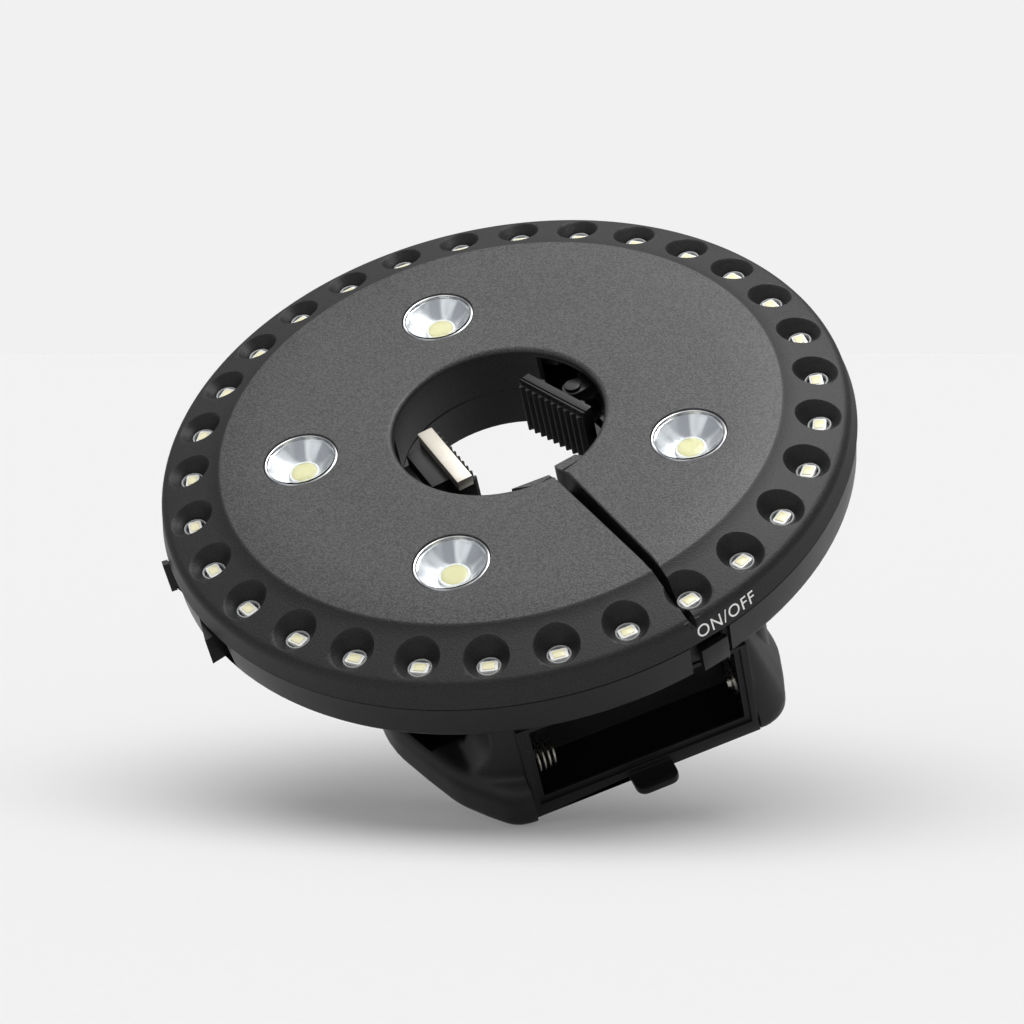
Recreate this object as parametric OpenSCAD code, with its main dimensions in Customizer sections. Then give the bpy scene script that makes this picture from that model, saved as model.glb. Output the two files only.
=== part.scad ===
// Clip-on patio umbrella light: a flat round lamp that grips the pole between two sprung jaws.
// Millimetres, +Z up. The origin is on the pole axis, level with the undersides of the two
// battery housings. The lamps face up, the open battery bay faces -Y.

/* [Disc] */
// Outer radius of the disc at its parting line
disc_r = 92.8; // [92:0.1:94]
// Height of the disc's underside above the battery housings' undersides
disc_z = 31.2; // [31:0.1:32]
// Height of the whole disc
disc_h = 22; // [21.8:0.1:22.4]
// Radius of the pole hole
hole_r = 28; // [27.8:0.1:28.2]
// Wall thickness of the moulded shells
wall = 2.2; // [2:0.1:2.4]
// Radius of the flat, grained centre of the top face
flat_r = 74.4; // [73.5:0.1:75]
// Extra width of the cord slot across the top face
slot_extra = 0; // [0:0.1:0.4]

/* [Lights] */
// Number of small lamps round the rim
rim_leds = 30; // [24:1:30]
// Radius of the ring of small lamps
rim_led_r = 83.5; // [83.2:0.1:83.8]
// Radius of a lamp pit at its mouth
pit_r = 5.9; // [5.5:0.1:6]
// Outer radius of a spot reflector
reflector_r = 9.8; // [9.4:0.1:9.9]

/* [Jaws] */
// Length of a jaw pad along the jaw
pad_len = 24; // [22:0.5:24]
// Height of a jaw pad
pad_h = 14.5; // [14:0.1:14.6]
// Number of ribs on a rubber pad
pad_ribs = 10; // [8:1:12]

/* [Battery bays] */
// Half width of a bay's frame
frame_hw = 30.6; // [30.4:0.1:30.8]
// Distance of a bay's frame face from the pole axis
frame_y = 86.7; // [86.4:0.1:86.9]
// Number of turns of a battery contact spring
contact_turns = 4.5; // [3.5:0.5:4.5]

/* [Hidden] */
$fn = 48;

// Margin by which a cutter runs past what it cuts
eps = 0.5;
// Facets on the large round shapes
round_fn = 120;

// Heights of the disc
disc_top = disc_z + disc_h;
split_z = disc_z + 10.4;
hole_split_z = disc_z + 7.8;
hole_bottom_z = disc_z - 4.2;
floor_top = disc_z + wall;
ceiling = disc_top - wall;
bevel_drop = 4.2;
bevel_end_r = disc_r - 2.8;
board_top = disc_z + 14.7;
board_t = 1.6;

// Colours
black_abs = [0.13, 0.13, 0.135];
dark_abs = [0.09, 0.09, 0.095];
steel = [0.72, 0.72, 0.70];
rubber = [0.06, 0.06, 0.06];

// Directions of the four spot lamps and their distances from the pole axis
spot_back = [90, 49.5];
spot_left = [166.1, 52.7];
spot_front = [-122.5, 53.2];
spot_right = [-37.8, 52.0];
spots = [spot_back, spot_left, spot_front, spot_right];

// The cord slot's direction, and the jaws' direction square to it
slot_a = -79.1;
left_jaw_a = 187.7;
right_jaw_a = 10.9;
first_led_a = -76.2;

// The rim lamps crowd a little at the back and spread on the left: degrees off even spacing, by place
rim_shift = [[0, 0], [7, 0.3], [9, -0.6], [14, -1.8], [18, -3.1], [20, -3],
    [22, -1.3], [24, 0.5], [26, 0.4], [28, 0]];
function rim_a(i) = first_led_a + 360 / rim_leds * i + lookup(30 * i / rim_leds, rim_shift);

// Screws that close the disc, as angles on one circle
shell_screw_r = 70;
shell_screw_angles = [25, 155, 205, 335];

module at(angle, r) {
    rotate([0, 0, angle]) translate([r, 0, 0]) children();
}

module tube(r_out, r_in, h) {
    difference() {
        cylinder(r = r_out, h = h);
        translate([0, 0, -eps]) cylinder(r = r_in, h = h + 2 * eps);
    }
}

// A box given by its lowest and highest corners
module span(low, high) {
    translate(low) cube(high - low);
}

// Points of an arc in a profile, from angle a to angle b
function arc(c, r, a, b, n) =
    [for (i = [0:n]) [c[0] + r * cos(a + (b - a) * i / n), c[1] + r * sin(a + (b - a) * i / n)]];

// ---------- disc ----------

mouth_r = 1.7;
side_top_z = disc_top - 6.8;

module upper_profile() {
    polygon(concat(
        [[hole_r, hole_split_z]],
        arc([hole_r + mouth_r, disc_top - mouth_r], mouth_r, 180, 90, 5),
        [[flat_r, disc_top], [flat_r + 0.5, disc_top - 0.35], [bevel_end_r - 1, disc_top - bevel_drop + 0.2]],
        arc([bevel_end_r - 1.2, side_top_z - 0.4], 3, 68, 8, 5),
        [[disc_r, split_z], [disc_r - wall, split_z], [disc_r - wall - 0.4, side_top_z],
        [bevel_end_r - 2, disc_top - bevel_drop - wall], [flat_r, ceiling], [hole_r + wall, ceiling],
        [hole_r + wall, hole_split_z]]));
}

module pits(shape_r, mouth, low_r, low_z) {
    for (i = [0:rim_leds - 1])
        at(rim_a(i), rim_led_r)
            translate([0, 0, low_z]) cylinder(r1 = low_r, r2 = shape_r, h = mouth - low_z);
}

pit_mouth_z = disc_top - 2.4;
pit_low_z = board_top + 1.2;
pit_low_r = 3.3;
pit_wall = 1.1;
pit_slope = (pit_r - pit_low_r) / (pit_mouth_z - pit_low_z);

module pit_cups() {
    pits(pit_r + pit_wall, pit_mouth_z - 0.6, pit_low_r + pit_wall, pit_low_z);
}

module pit_cuts() {
    top = pit_mouth_z + 2;
    pits(pit_r + 2 * pit_slope, top, pit_low_r - eps * pit_slope, pit_low_z - eps);
}

slot_floor = disc_z + 13.3;
slot_end_z = disc_z + 14.9;
slot_floor_t = 1.4;
rim_cut_r = disc_r - 4.3;

// Plan of the cord slot, widened by a margin; it narrows and bends a little at the rim
module slot_plan(margin, from_r, to_r) {
    m = margin + slot_extra / 2;
    rotate([0, 0, slot_a]) intersection() {
        polygon([[22, -2.4 - m], [25.7, -1.6 - m], [30, -0.4 - m], [70, 0.3 - m], [88, -0.6 - m],
            [100, -1.3 - m], [100, 0.3 + m], [88, 1.3 + m], [70, 2.7 + m], [30, 3.1 + m],
            [26.5, 1.9 + m], [22, 1.7 + m]]);
        translate([from_r, -20]) square([to_r - from_r, 40]);
    }
}

module along_slot(margin, low, high, from_r, to_r) {
    translate([0, 0, low]) linear_extrude(high - low) slot_plan(margin, from_r, to_r);
}

module slot_end_cut() {
    rotate([0, 0, slot_a]) translate([rim_cut_r - 0.5, 0.05, slot_end_z + 0.9])
        rotate([0, 90, 0]) cylinder(r = 0.85, h = 12);
}

// Two lips carry the slot's mouth a little way into the pole hole; the left one slopes down
module slot_lips() {
    difference() {
        translate([0, 0, slot_floor]) linear_extrude(disc_top - slot_floor)
            polygon([[-6, -27.3], [3.3, -25.5], [6.9, -24.8], [12.9, -23.6], [15, -25.5], [0, -29.4]]);
        translate([-12, -27.5, disc_top]) rotate([-42, 0, 0]) cube([16.4, 10, 6]);
    }
}

jaw_window_low = disc_z + 2.7;
left_window = [-13.5, 13.5];
right_window = [-13.5, 18.5];

module jaw_windows(low, high) {
    from_x = hole_r - 6;
    to_x = hole_r + wall + 2;
    rotate([0, 0, left_jaw_a]) span([from_x, left_window[0], low], [to_x, left_window[1], high]);
    rotate([0, 0, right_jaw_a]) span([from_x, right_window[0], low], [to_x, right_window[1], high]);
}

boss_r = 3.4;
upper_boss_low = disc_z + 4.4;
screw_r = 1.2;
screw_bore_r = 1.25;

module upper_shell() {
    color(black_abs) difference() {
        union() {
            rotate_extrude($fn = round_fn) upper_profile();
            intersection() {
                pit_cups();
                translate([0, 0, pit_low_z - eps]) cylinder(r = disc_r - 1, h = 10);
            }
            intersection() {
                along_slot(slot_floor_t, slot_floor - slot_floor_t, ceiling + 1, hole_r + 1, disc_r - 1);
                union() {
                    cylinder(r = flat_r, h = disc_top - 1);
                    cylinder(r = disc_r - 1, h = disc_top - bevel_drop - 1.5);
                }
            }
            slot_lips();
            for (s = spots) at(s[0], s[1]) translate([0, 0, board_top + 3])
                cylinder(r = reflector_r + 1.6, h = ceiling - board_top - 2.5);
            for (a = shell_screw_angles) at(a, shell_screw_r)
                translate([0, 0, upper_boss_low]) cylinder(r = boss_r, h = ceiling - upper_boss_low + 0.5);
        }
        pit_cuts();
        along_slot(0, slot_floor, disc_top + 1, 22, rim_cut_r);
        along_slot(0, slot_end_z + 1, disc_top + 1, rim_cut_r - 0.5, disc_r + 2);
        slot_end_cut();
        at(first_led_a, rim_led_r) translate([0, 0, board_top - 0.4]) linear_extrude(2)
            square([led_size[0] + 0.6, led_size[1] + 0.6], center = true);
        jaw_windows(hole_split_z - eps, ceiling - 0.1);
        for (s = spots) at(s[0], s[1])
            translate([0, 0, board_top - 1]) cylinder(r = reflector_r + 0.15, h = 12);
        for (a = shell_screw_angles) at(a, shell_screw_r)
            translate([0, 0, upper_boss_low - eps]) cylinder(r = screw_bore_r, h = 10);
    }
}

lower_r = disc_r - 0.4;
foot_r = disc_r - 1.2;
edge_r = 1.4;

module lower_profile() {
    polygon(concat(
        [[hole_r, hole_bottom_z + 0.6], [hole_r + 0.6, hole_bottom_z], [hole_r + wall, hole_bottom_z],
        [hole_r + wall, disc_z]],
        arc([foot_r - edge_r, disc_z + edge_r], edge_r, -90, 0, 4),
        [[lower_r, split_z - 0.35], [lower_r - 0.35, split_z], [lower_r - wall, split_z],
        [foot_r - wall, floor_top], [hole_r + wall, floor_top], [hole_r + wall, hole_split_z],
        [hole_r, hole_split_z]]));
}

// The hook folds against the rim on an upright pin: angles along the rim and radii
hook_pin_a = 193.5;
hook_pin_at_r = disc_r - 4.5;
hook_pin_r = 1.5;
hook_pin_bore_r = 1.55;
hook_boss_r = 4;
fin_a = 175.3;
heel_from_a = 190.3;
heel_a = 196;
heel_r = disc_r + 2.5;
fin_r = disc_r + 1.8;
arm_r = [disc_r - 3.2, disc_r - 0.7];
pocket_a = [174, 199.5];
pocket_r = disc_r - 9.6;
pocket_z = [disc_z + 0.8, split_z - 0.6];
hook_z = [disc_z + 1.1, split_z - 0.9];

function rim_point(r, a) = [r * cos(a), r * sin(a)];

module ring_sector(r_in, r_out, low, high, from_a, to_a) {
    rotate([0, 0, from_a]) rotate_extrude(angle = to_a - from_a, $fn = round_fn)
        translate([r_in, low]) square([r_out - r_in, high - low]);
}

module hook_pocket() {
    ring_sector(pocket_r, disc_r + 4, pocket_z[0], pocket_z[1], pocket_a[0], pocket_a[1]);
}

module hook_pocket_wall() {
    ring_sector(pocket_r - 1.8, disc_r - 2.1, disc_z + 0.4, split_z - 0.02,
        pocket_a[0] - 1.2, pocket_a[1] + 1.2);
}

// The power button sits in a notch in the lower band, over the open battery bay
notch_low = [15, -disc_r - 1, disc_z - 1];
notch_high = [26.6, -frame_y + 0.5, split_z + 1];
button_x = [18, 25.6];
stem_x = [19.6, 24.2];
stem_z = [disc_z + 3.8, disc_z + 6.6];
switch_face_y = -84.7;

// A housing's battery tray stands up through the underside
tray_hw = 29.9;
tray_back_y = 68;
tray_front_y = frame_y - 2;
tray_top = disc_z + 3.1;

module each_end() {
    for (a = [0, 180]) rotate([0, 0, a]) children();
}

// Jaw guides: two rods a side, held by a standing wall behind the spring
rod_y = 6;
rod_z = disc_z + 10.3;
rod_r = 1.5;
rod_bore_r = 1.55;
rod_from = 32;
rod_to = 57.4;
spring_wall = [56, 58.4];

// Screws that hold the housings, and the circuit board
housing_screw_at = [[37.4, -68], [-33.6, -73.5]];
board_screw_at = [[58, 0], [118, 0]];

module notch_walls() {
    intersection() {
        span([notch_low[0] - 1.4, -disc_r, floor_top - 0.6],
            [notch_high[0] + 1.4, notch_high[1] + 1.2, split_z - 0.02]);
        cylinder(r = disc_r - 2.1, h = 60, $fn = round_fn);
    }
}

module lower_shell() {
    color(black_abs) difference() {
        union() {
            rotate_extrude($fn = round_fn) lower_profile();
            hook_pocket_wall();
            for (a = shell_screw_angles) at(a, shell_screw_r)
                translate([0, 0, disc_z + 0.5]) cylinder(r = boss_r + 0.9, h = upper_boss_low - disc_z - 0.5);
            for (a = [left_jaw_a, right_jaw_a]) rotate([0, 0, a])
                span([spring_wall[0], -9, floor_top - eps], [spring_wall[1], 9, rod_z + 3]);
            each_end() for (p = housing_screw_at)
                translate([p[0], p[1], floor_top - eps]) cylinder(r = 3.2, h = 6);
            notch_walls();
            for (a = [60, 120, 240, 300]) at(a, 66) translate([0, 0, floor_top - eps])
                cylinder(r = 2.6, h = board_top - board_t - floor_top + eps);
        }
        jaw_windows(jaw_window_low, hole_split_z + eps);
        span(notch_low, notch_high);
        span([stem_x[0] - 0.4, -frame_y - 1, stem_z[0] - 0.3],
            [stem_x[1] + 0.4, -frame_y + 3, stem_z[1] + 0.4]);
        each_end() span([-tray_hw - 0.15, -tray_front_y - 0.1, disc_z - 1],
            [tray_hw + 0.15, -tray_back_y + 0.15, tray_top]);
        hook_pocket();
        at(hook_pin_a, hook_pin_at_r)
            translate([0, 0, disc_z + 0.3]) cylinder(r = hook_pin_r + 0.02, h = 12);
        for (a = shell_screw_angles) at(a, shell_screw_r) {
            translate([0, 0, disc_z - 1]) cylinder(r = 3.1, h = 3.2);
            translate([0, 0, disc_z - 1]) cylinder(r = 1.6, h = 12);
        }
        for (a = [left_jaw_a, right_jaw_a], y = [-rod_y, rod_y]) rotate([0, 0, a])
            translate([rod_from, y, rod_z]) rotate([0, 90, 0]) cylinder(r = rod_r + 0.02, h = 30);
        each_end() for (p = housing_screw_at)
            translate([p[0], p[1], disc_z - 1]) cylinder(r = screw_bore_r + 0.2, h = 12);
        for (a = [60, 120, 240, 300]) at(a, 66)
            translate([0, 0, floor_top]) cylinder(r = 0.85, h = 14);
    }
}

// ---------- lights ----------

board_in_r = hole_r + 5;
board_out_r = disc_r - 4.6;

module led_board() {
    color(dark_abs) difference() {
        translate([0, 0, board_top - board_t]) tube(board_out_r, board_in_r, board_t, $fn = round_fn);
        along_slot(slot_floor_t + 0.5, board_top - 4, board_top + 2, 22, disc_r);
        for (a = [left_jaw_a, right_jaw_a]) rotate([0, 0, a]) {
            span([20, -17.5, board_top - 4], [35, 17.5, board_top + 2]);
            span([30, -10.2, board_top - 4], [59, 10.2, board_top + 2]);
        }
        for (a = shell_screw_angles) at(a, shell_screw_r)
            translate([0, 0, board_top - 4]) cylinder(r = boss_r + 0.4, h = 8);
        for (a = [60, 120, 240, 300]) at(a, 66) translate([0, 0, board_top - 4]) cylinder(r = 1.2, h = 8);
    }
}

led_size = [3.7, 5.0];
led_h = 1.0;

module rim_led_set() {
    color([0.95, 0.93, 0.75]) for (i = [0:rim_leds - 1])
        at(rim_a(i), rim_led_r) translate([0, 0, board_top])
            linear_extrude(led_h) intersection() {
                square(led_size, center = true);
                circle(r = 2.9);
            }
}

// A spot reflector: a plated cup with a seat for its cover
cup_low_r = 4.1;
cup_low_z = board_top + 0.1;
cup_in_z = board_top + 2.6;
cup_top_z = disc_top - 0.25;
cover_seat = 1.3;

module reflector(s) {
    floor_z = cup_top_z - cover_seat;
    color([0.85, 0.85, 0.87]) at(s[0], s[1]) difference() {
        union() {
            translate([0, 0, cup_top_z - 2.2]) cylinder(r = reflector_r, h = 2.2);
            translate([0, 0, cup_low_z])
                cylinder(r1 = cup_low_r + 0.9, r2 = reflector_r - 0.4, h = cup_top_z - cup_low_z - 1);
        }
        translate([0, 0, cup_low_z - eps]) cylinder(r = cup_low_r, h = cup_in_z - cup_low_z + eps + 0.01);
        translate([0, 0, cup_in_z])
            cylinder(r1 = cup_low_r, r2 = reflector_r - 1.2, h = floor_z - cup_in_z + 0.02);
        translate([0, 0, floor_z]) cylinder(r = reflector_r - 0.7, h = 3);
    }
}

module reflector_back() { reflector(spot_back); }
module reflector_left() { reflector(spot_left); }
module reflector_front() { reflector(spot_front); }
module reflector_right() { reflector(spot_right); }

// A spot lamp: a white base with a round phosphor dome
module spot_led(s) {
    color([0.95, 0.92, 0.62]) at(s[0], s[1]) translate([0, 0, board_top]) {
        translate([-3, -3, 0]) cube([6, 6, 0.7]);
        translate([0, 0, 0.6]) cylinder(r1 = 3.6, r2 = 3.3, h = 2.6);
    }
}

module spot_led_back() { spot_led(spot_back); }
module spot_led_left() { spot_led(spot_left); }
module spot_led_front() { spot_led(spot_front); }
module spot_led_right() { spot_led(spot_right); }

// A clear cover sits in the reflector's seat
module spot_cover(s) {
    color([0.9, 0.95, 1, 0.35]) at(s[0], s[1]) {
        translate([0, 0, cup_top_z - cover_seat]) cylinder(r = reflector_r - 0.8, h = cover_seat - 0.1);
        translate([0, 0, cup_top_z - 0.15]) tube(reflector_r - 0.8, reflector_r - 1.8, 0.35);
    }
}

module spot_cover_back() { spot_cover(spot_back); }
module spot_cover_left() { spot_cover(spot_left); }
module spot_cover_front() { spot_cover(spot_front); }
module spot_cover_right() { spot_cover(spot_right); }

module driver_chip() {
    color(dark_abs) at(45, 56) translate([-4, -5, board_top - board_t - 1.6]) cube([8, 10, 1.6]);
}

switch_y = [-84, -80];
switch_z = [tray_top + 0.3, disc_z + 7.8];

module push_switch() {
    color(dark_abs) {
        span([18.9, switch_y[0], switch_z[0]], [24.9, switch_y[1], switch_z[1]]);
        translate([21.9, switch_face_y, (stem_z[0] + stem_z[1]) / 2])
            rotate([-90, 0, 0]) cylinder(r = 1.2, h = 1.2);
    }
}

module switch_board() {
    color([0.1, 0.35, 0.2])
        span([19.4, switch_y[1], switch_z[0]], [29.5, switch_y[1] + 1.2, board_top - board_t]);
}

// The button's face follows the rim; its stem reaches the switch with the travel to spare
module power_button() {
    color(dark_abs) {
        intersection() {
            span([button_x[0], -disc_r - 2, disc_z + 0.2], [button_x[1], -frame_y - 0.6, disc_z + 7]);
            cylinder(r = disc_r - 0.6, h = 60, $fn = round_fn);
        }
        span([stem_x[0], -frame_y - 1, stem_z[0]], [stem_x[1], switch_face_y - 1.1, stem_z[1]]);
    }
}

// ---------- jaws ----------

pad_top = disc_top - 3;
pad_low = pad_top - 1.4 - pad_h;
carrier_z = [disc_z + 5.2, disc_z + 16.2];
carrier_hw = 8;
carrier_back_x = 40;
spring_pocket_x = 30.6;
spring_x = 36.1;
bar_h = 3.1;
plate_t = 4.4;
left_face_x = 14.3;
left_carrier_y = -1.6;
left_carrier_step_z = disc_z + 12.5;
left_carrier_step_x = [23.8, 29.6];
pad_t = 1.25;
rib_h = 0.85;

// A rubber pad with upright ribs on the side that meets the pole; its back is at x = 0
module ribbed_pad(high) {
    pitch = pad_len / pad_ribs;
    low = pad_low + 0.1;
    translate([rib_h - pad_t, -pad_len / 2, low]) cube([pad_t - rib_h, pad_len, high - low]);
    for (i = [0:pad_ribs - 1])
        translate([rib_h - pad_t, -pad_len / 2 + pitch * (i + 0.5), low]) linear_extrude(high - low)
            polygon([[-rib_h, -pitch * 0.22], [-rib_h, pitch * 0.22],
                [0.1, pitch * 0.42], [0.1, -pitch * 0.42]]);
}

module carrier_block(from_x, mid_y) {
    difference() {
        span([from_x, mid_y - carrier_hw, carrier_z[0]], [carrier_back_x, mid_y + carrier_hw, carrier_z[1]]);
        for (y = [-rod_y, rod_y]) translate([from_x - 1, y, rod_z]) rotate([0, 90, 0])
            cylinder(r = rod_bore_r, h = 60);
        translate([spring_pocket_x, 0, rod_z]) rotate([0, 90, 0]) cylinder(r = 3.9, h = 12);
    }
}

// Both jaws are drawn with x pointing outwards from the pole
left_plate_top = pad_top - bar_h;

module left_jaw_frame() {
    rotate([0, 0, left_jaw_a]) children();
}

// The left carrier's top is cut away between its front wall and the spring pocket
module left_jaw_carrier() {
    color(dark_abs) left_jaw_frame() difference() {
        carrier_block(left_face_x + plate_t, left_carrier_y);
        span([left_carrier_step_x[0], -20, left_carrier_step_z], [left_carrier_step_x[1], 20, disc_top]);
    }
}

module left_jaw_plate() {
    color(dark_abs) left_jaw_frame()
        span([left_face_x, -pad_len / 2, pad_low], [left_face_x + plate_t, pad_len / 2, left_plate_top]);
}

module left_jaw_bar() {
    color(steel) left_jaw_frame()
        span([left_face_x, -pad_len / 2, left_plate_top], [left_face_x + plate_t, pad_len / 2, pad_top]);
}

module left_jaw_pad() {
    color(rubber) left_jaw_frame() translate([left_face_x, 0, 0]) ribbed_pad(pad_top - 1.9);
}

// A jaw's spring is drawn at its shortest, as a sleeve round where its coil runs
module jaw_spring() {
    translate([spring_x, 0, rod_z]) rotate([0, 90, 0]) tube(3.6, 2.6, spring_wall[0] - spring_x);
}

module jaw_rods() {
    for (y = [-rod_y, rod_y]) translate([rod_from, y, rod_z]) rotate([0, 90, 0])
        cylinder(r = rod_r, h = rod_to - rod_from);
}

module right_jaw_frame() {
    rotate([0, 0, right_jaw_a]) children();
}

module left_jaw_spring() { color(steel) left_jaw_frame() jaw_spring(); }
module left_jaw_rods() { color(steel) left_jaw_frame() jaw_rods(); }
module right_jaw_spring() { color(steel) right_jaw_frame() jaw_spring(); }
module right_jaw_rods() { color(steel) right_jaw_frame() jaw_rods(); }

// The right jaw's plate swivels on an upright pin and rests turned by this angle
pivot = [24.1, 2.6];
swivel_rest = 13.4;
pivot_r = 2.9;
pivot_pin_r = 1.5;
pivot_bore_r = 1.55;
knuckle_z = [disc_z + 8.6, disc_z + 13.2];
ear_low_z = [disc_z + 5.2, disc_z + 8.3];
ear_high_z = [disc_z + 13.5, disc_z + 17.2];
right_plate_t = 3.2;
right_face_x = -7.7;
right_plate_top = pad_top + 0.6;
groove_z = 0.5;

module right_jaw_carrier() {
    color(dark_abs) right_jaw_frame() difference() {
        union() {
            carrier_block(pivot[0] + 4.6, 0);
            for (z = [ear_low_z, ear_high_z]) {
                translate([pivot[0], pivot[1], z[0]]) cylinder(r = pivot_r, h = z[1] - z[0]);
                span([pivot[0], pivot[1] - pivot_r, z[0]], [pivot[0] + 7, pivot[1] + pivot_r, z[1]]);
            }
        }
        translate([pivot[0], pivot[1], disc_z]) cylinder(r = pivot_bore_r, h = 24);
        translate([spring_pocket_x, 0, rod_z]) rotate([0, 90, 0]) cylinder(r = 3.9, h = 12);
    }
}

module swivelled() {
    right_jaw_frame() translate([pivot[0], pivot[1], 0]) rotate([0, 0, swivel_rest]) children();
}

module right_jaw_plate() {
    face_x = right_face_x;
    color(dark_abs) swivelled() difference() {
        union() {
            span([face_x, -pad_len / 2, pad_low], [face_x + right_plate_t, pad_len / 2, right_plate_top]);
            translate([0, 0, knuckle_z[0]]) cylinder(r = pivot_r, h = knuckle_z[1] - knuckle_z[0]);
            span([face_x + 1, -pivot_r, knuckle_z[0]], [0, pivot_r, knuckle_z[1]]);
            for (y = [-7.5, 7.5])
                span([face_x + 2, y - 0.8, pad_low + 1], [face_x + 4.4, y + 0.8, right_plate_top - 1]);
        }
        translate([0, 0, disc_z]) cylinder(r = pivot_bore_r, h = 24);
        span([face_x + 0.5, -pad_len, right_plate_top - groove_z],
            [face_x + 0.9, pad_len, right_plate_top + 1]);
    }
}

module right_jaw_pad() {
    color(rubber) swivelled() translate([right_face_x, 0, 0]) ribbed_pad(right_plate_top - 1.2);
}

module right_jaw_pin() {
    color(dark_abs) right_jaw_frame() translate([pivot[0], pivot[1], 0]) {
        translate([0, 0, ear_low_z[0]]) cylinder(r = pivot_pin_r, h = ear_high_z[1] - ear_low_z[0] + 0.5);
        translate([0, 0, ear_high_z[1] + 0.02]) cylinder(r = 2.2, h = 0.9);
    }
}

// ---------- fold-out hook ----------

module left_hook() {
    color(dark_abs) difference() {
        union() {
            translate([0, 0, hook_z[0]]) linear_extrude(hook_z[1] - hook_z[0]) polygon(concat(
                [for (i = [0:12]) rim_point(arm_r[1], fin_a + (heel_from_a - fin_a) * i / 12)],
                [rim_point(heel_r, heel_a), rim_point(arm_r[0], heel_a)],
                [for (i = [12:-1:0]) rim_point(arm_r[0], fin_a + (heel_from_a - fin_a) * i / 12)]));
            translate([0, 0, hook_z[0]]) at(hook_pin_a, hook_pin_at_r)
                cylinder(r = hook_boss_r, h = hook_z[1] - hook_z[0]);
            ring_sector(arm_r[1] - 0.4, disc_r + 0.3, hook_z[0], hook_z[1], fin_a, fin_a + 1.1);
            ring_sector(disc_r + 0.2, fin_r, disc_z + 0.5, split_z - 0.3, fin_a, fin_a + 1.1);
        }
        at(hook_pin_a, hook_pin_at_r) translate([0, 0, disc_z]) cylinder(r = hook_pin_bore_r, h = 14);
    }
}

module left_hook_pin() {
    color(steel) at(hook_pin_a, hook_pin_at_r) translate([0, 0, disc_z + 0.35])
        cylinder(r = hook_pin_r, h = split_z - disc_z - 0.45);
}

// ---------- battery housings ----------

bay_hw = 27.2;
bay_low = 5.4;
bay_high = disc_z - 2.6;
rabbet = 1.5;
cell_low = 3.2;
cell_high = disc_z + 1.7;
inner_hw = 28.4;
tongue_x = [-5.2, 6.2];
tongue_out = 6.5;
tongue_round = 2.5;
cell_y = -77.5;
cell_z = [10.9, 25.4];

module tongue() {
    tip = -frame_y - tongue_out + tongue_round;
    translate([0, 0, 0.4]) linear_extrude(2) polygon(concat(
        [[tongue_x[1], -frame_y + 1], [tongue_x[0], -frame_y + 1]],
        arc([tongue_x[0] + tongue_round, tip], tongue_round, 180, 270, 5),
        arc([tongue_x[1] - tongue_round, tip], tongue_round, 270, 360, 5)));
}

module tray() {
    difference() {
        union() {
            span([-frame_hw, -frame_y, 0], [frame_hw, -tray_front_y, disc_z - 0.1]);
            span([-tray_hw, -tray_front_y - eps, 1.9], [tray_hw, -80, disc_z - 0.1]);
            span([-tray_hw, -tray_front_y, 1.9], [tray_hw, -tray_back_y, tray_top - 0.1]);
            tongue();
        }
        span([-bay_hw, -frame_y - 1, bay_low], [bay_hw, -tray_front_y + 1, bay_high]);
        span([-bay_hw - rabbet, -frame_y - 1, bay_low - rabbet],
            [bay_hw + rabbet, -frame_y + 1, bay_high + rabbet]);
        span([-inner_hw, -tray_front_y, cell_low], [inner_hw, -tray_back_y - 1.8, cell_high]);
    }
    // A low rib between the two cells
    span([-12, -tray_back_y - 2.2, 17.4], [12, -tray_back_y - 1.6, 18.9]);
}

plinth_h = 13;

// A housing swells out past the tray on both sides: a full-height lobe and a low, longer wing
lobe_parts = [[31.3, -78.1, 9.4], [26.4, -69.7, 16.9], [21.5, -61.3, 24]];
wing_parts = [[-31.5, -79.6, 9.2], [-27, -70.2, 18.6], [-22, -60.8, 28.1],
    [-21.3, -51.5, 32.1], [-20.5, -42, 36]];
foot_round = 1.8;
cowl_t = 2.1;
cowl_end_y = -36;
side_wall_x = tray_hw + 2.3;

// How far the lobe's wall leans in for each millimetre of height
lean = 0.31;

module lobe_shape(inset, top) {
    low = 3;
    for (p = lobe_parts) let (peak = min(top, low + (p[2] - inset - 0.6) / lean))
        translate([p[0], p[1], 0]) rotate_extrude($fn = 72) polygon(concat(
            [[0, inset]],
            inset > 0 ? [[p[2] - inset, inset]] : arc([p[2] - foot_round, foot_round], foot_round, -90, 0, 3),
            [[p[2] - inset, low], [p[2] - inset - lean * (peak - low), peak], [0, peak]]));
}

module wing_shape(inset, top) {
    for (p = wing_parts) translate([p[0], p[1], 0]) rotate_extrude($fn = 72) polygon(concat(
        [[0, inset]],
        inset > 0 ? [[p[2] - inset, inset], [p[2] - inset, top]]
            : concat(arc([p[2] - foot_round, foot_round], foot_round, -90, 0, 3),
                arc([p[2] - 4.5, plinth_h - 4.5], 4.5, 0, 90, 4)),
        [[0, top]]));
}

// The wing is scooped out under the disc: a hollow flank rises from it to the tray's wall
scoop_r = 20.5;
scoop_at = [-57, 27];
flank_back_y = -66;

module wing_flank() {
    difference() {
        intersection() {
            translate([-22, -60.8, 3]) cylinder(r = 25.4, h = disc_z - 3);
            span([-50, -90, 3], [-20, flank_back_y, disc_z]);
        }
        translate([scoop_at[0], -100, scoop_at[1]]) rotate([-90, 0, 0]) cylinder(r = scoop_r, h = 60);
    }
}

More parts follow.
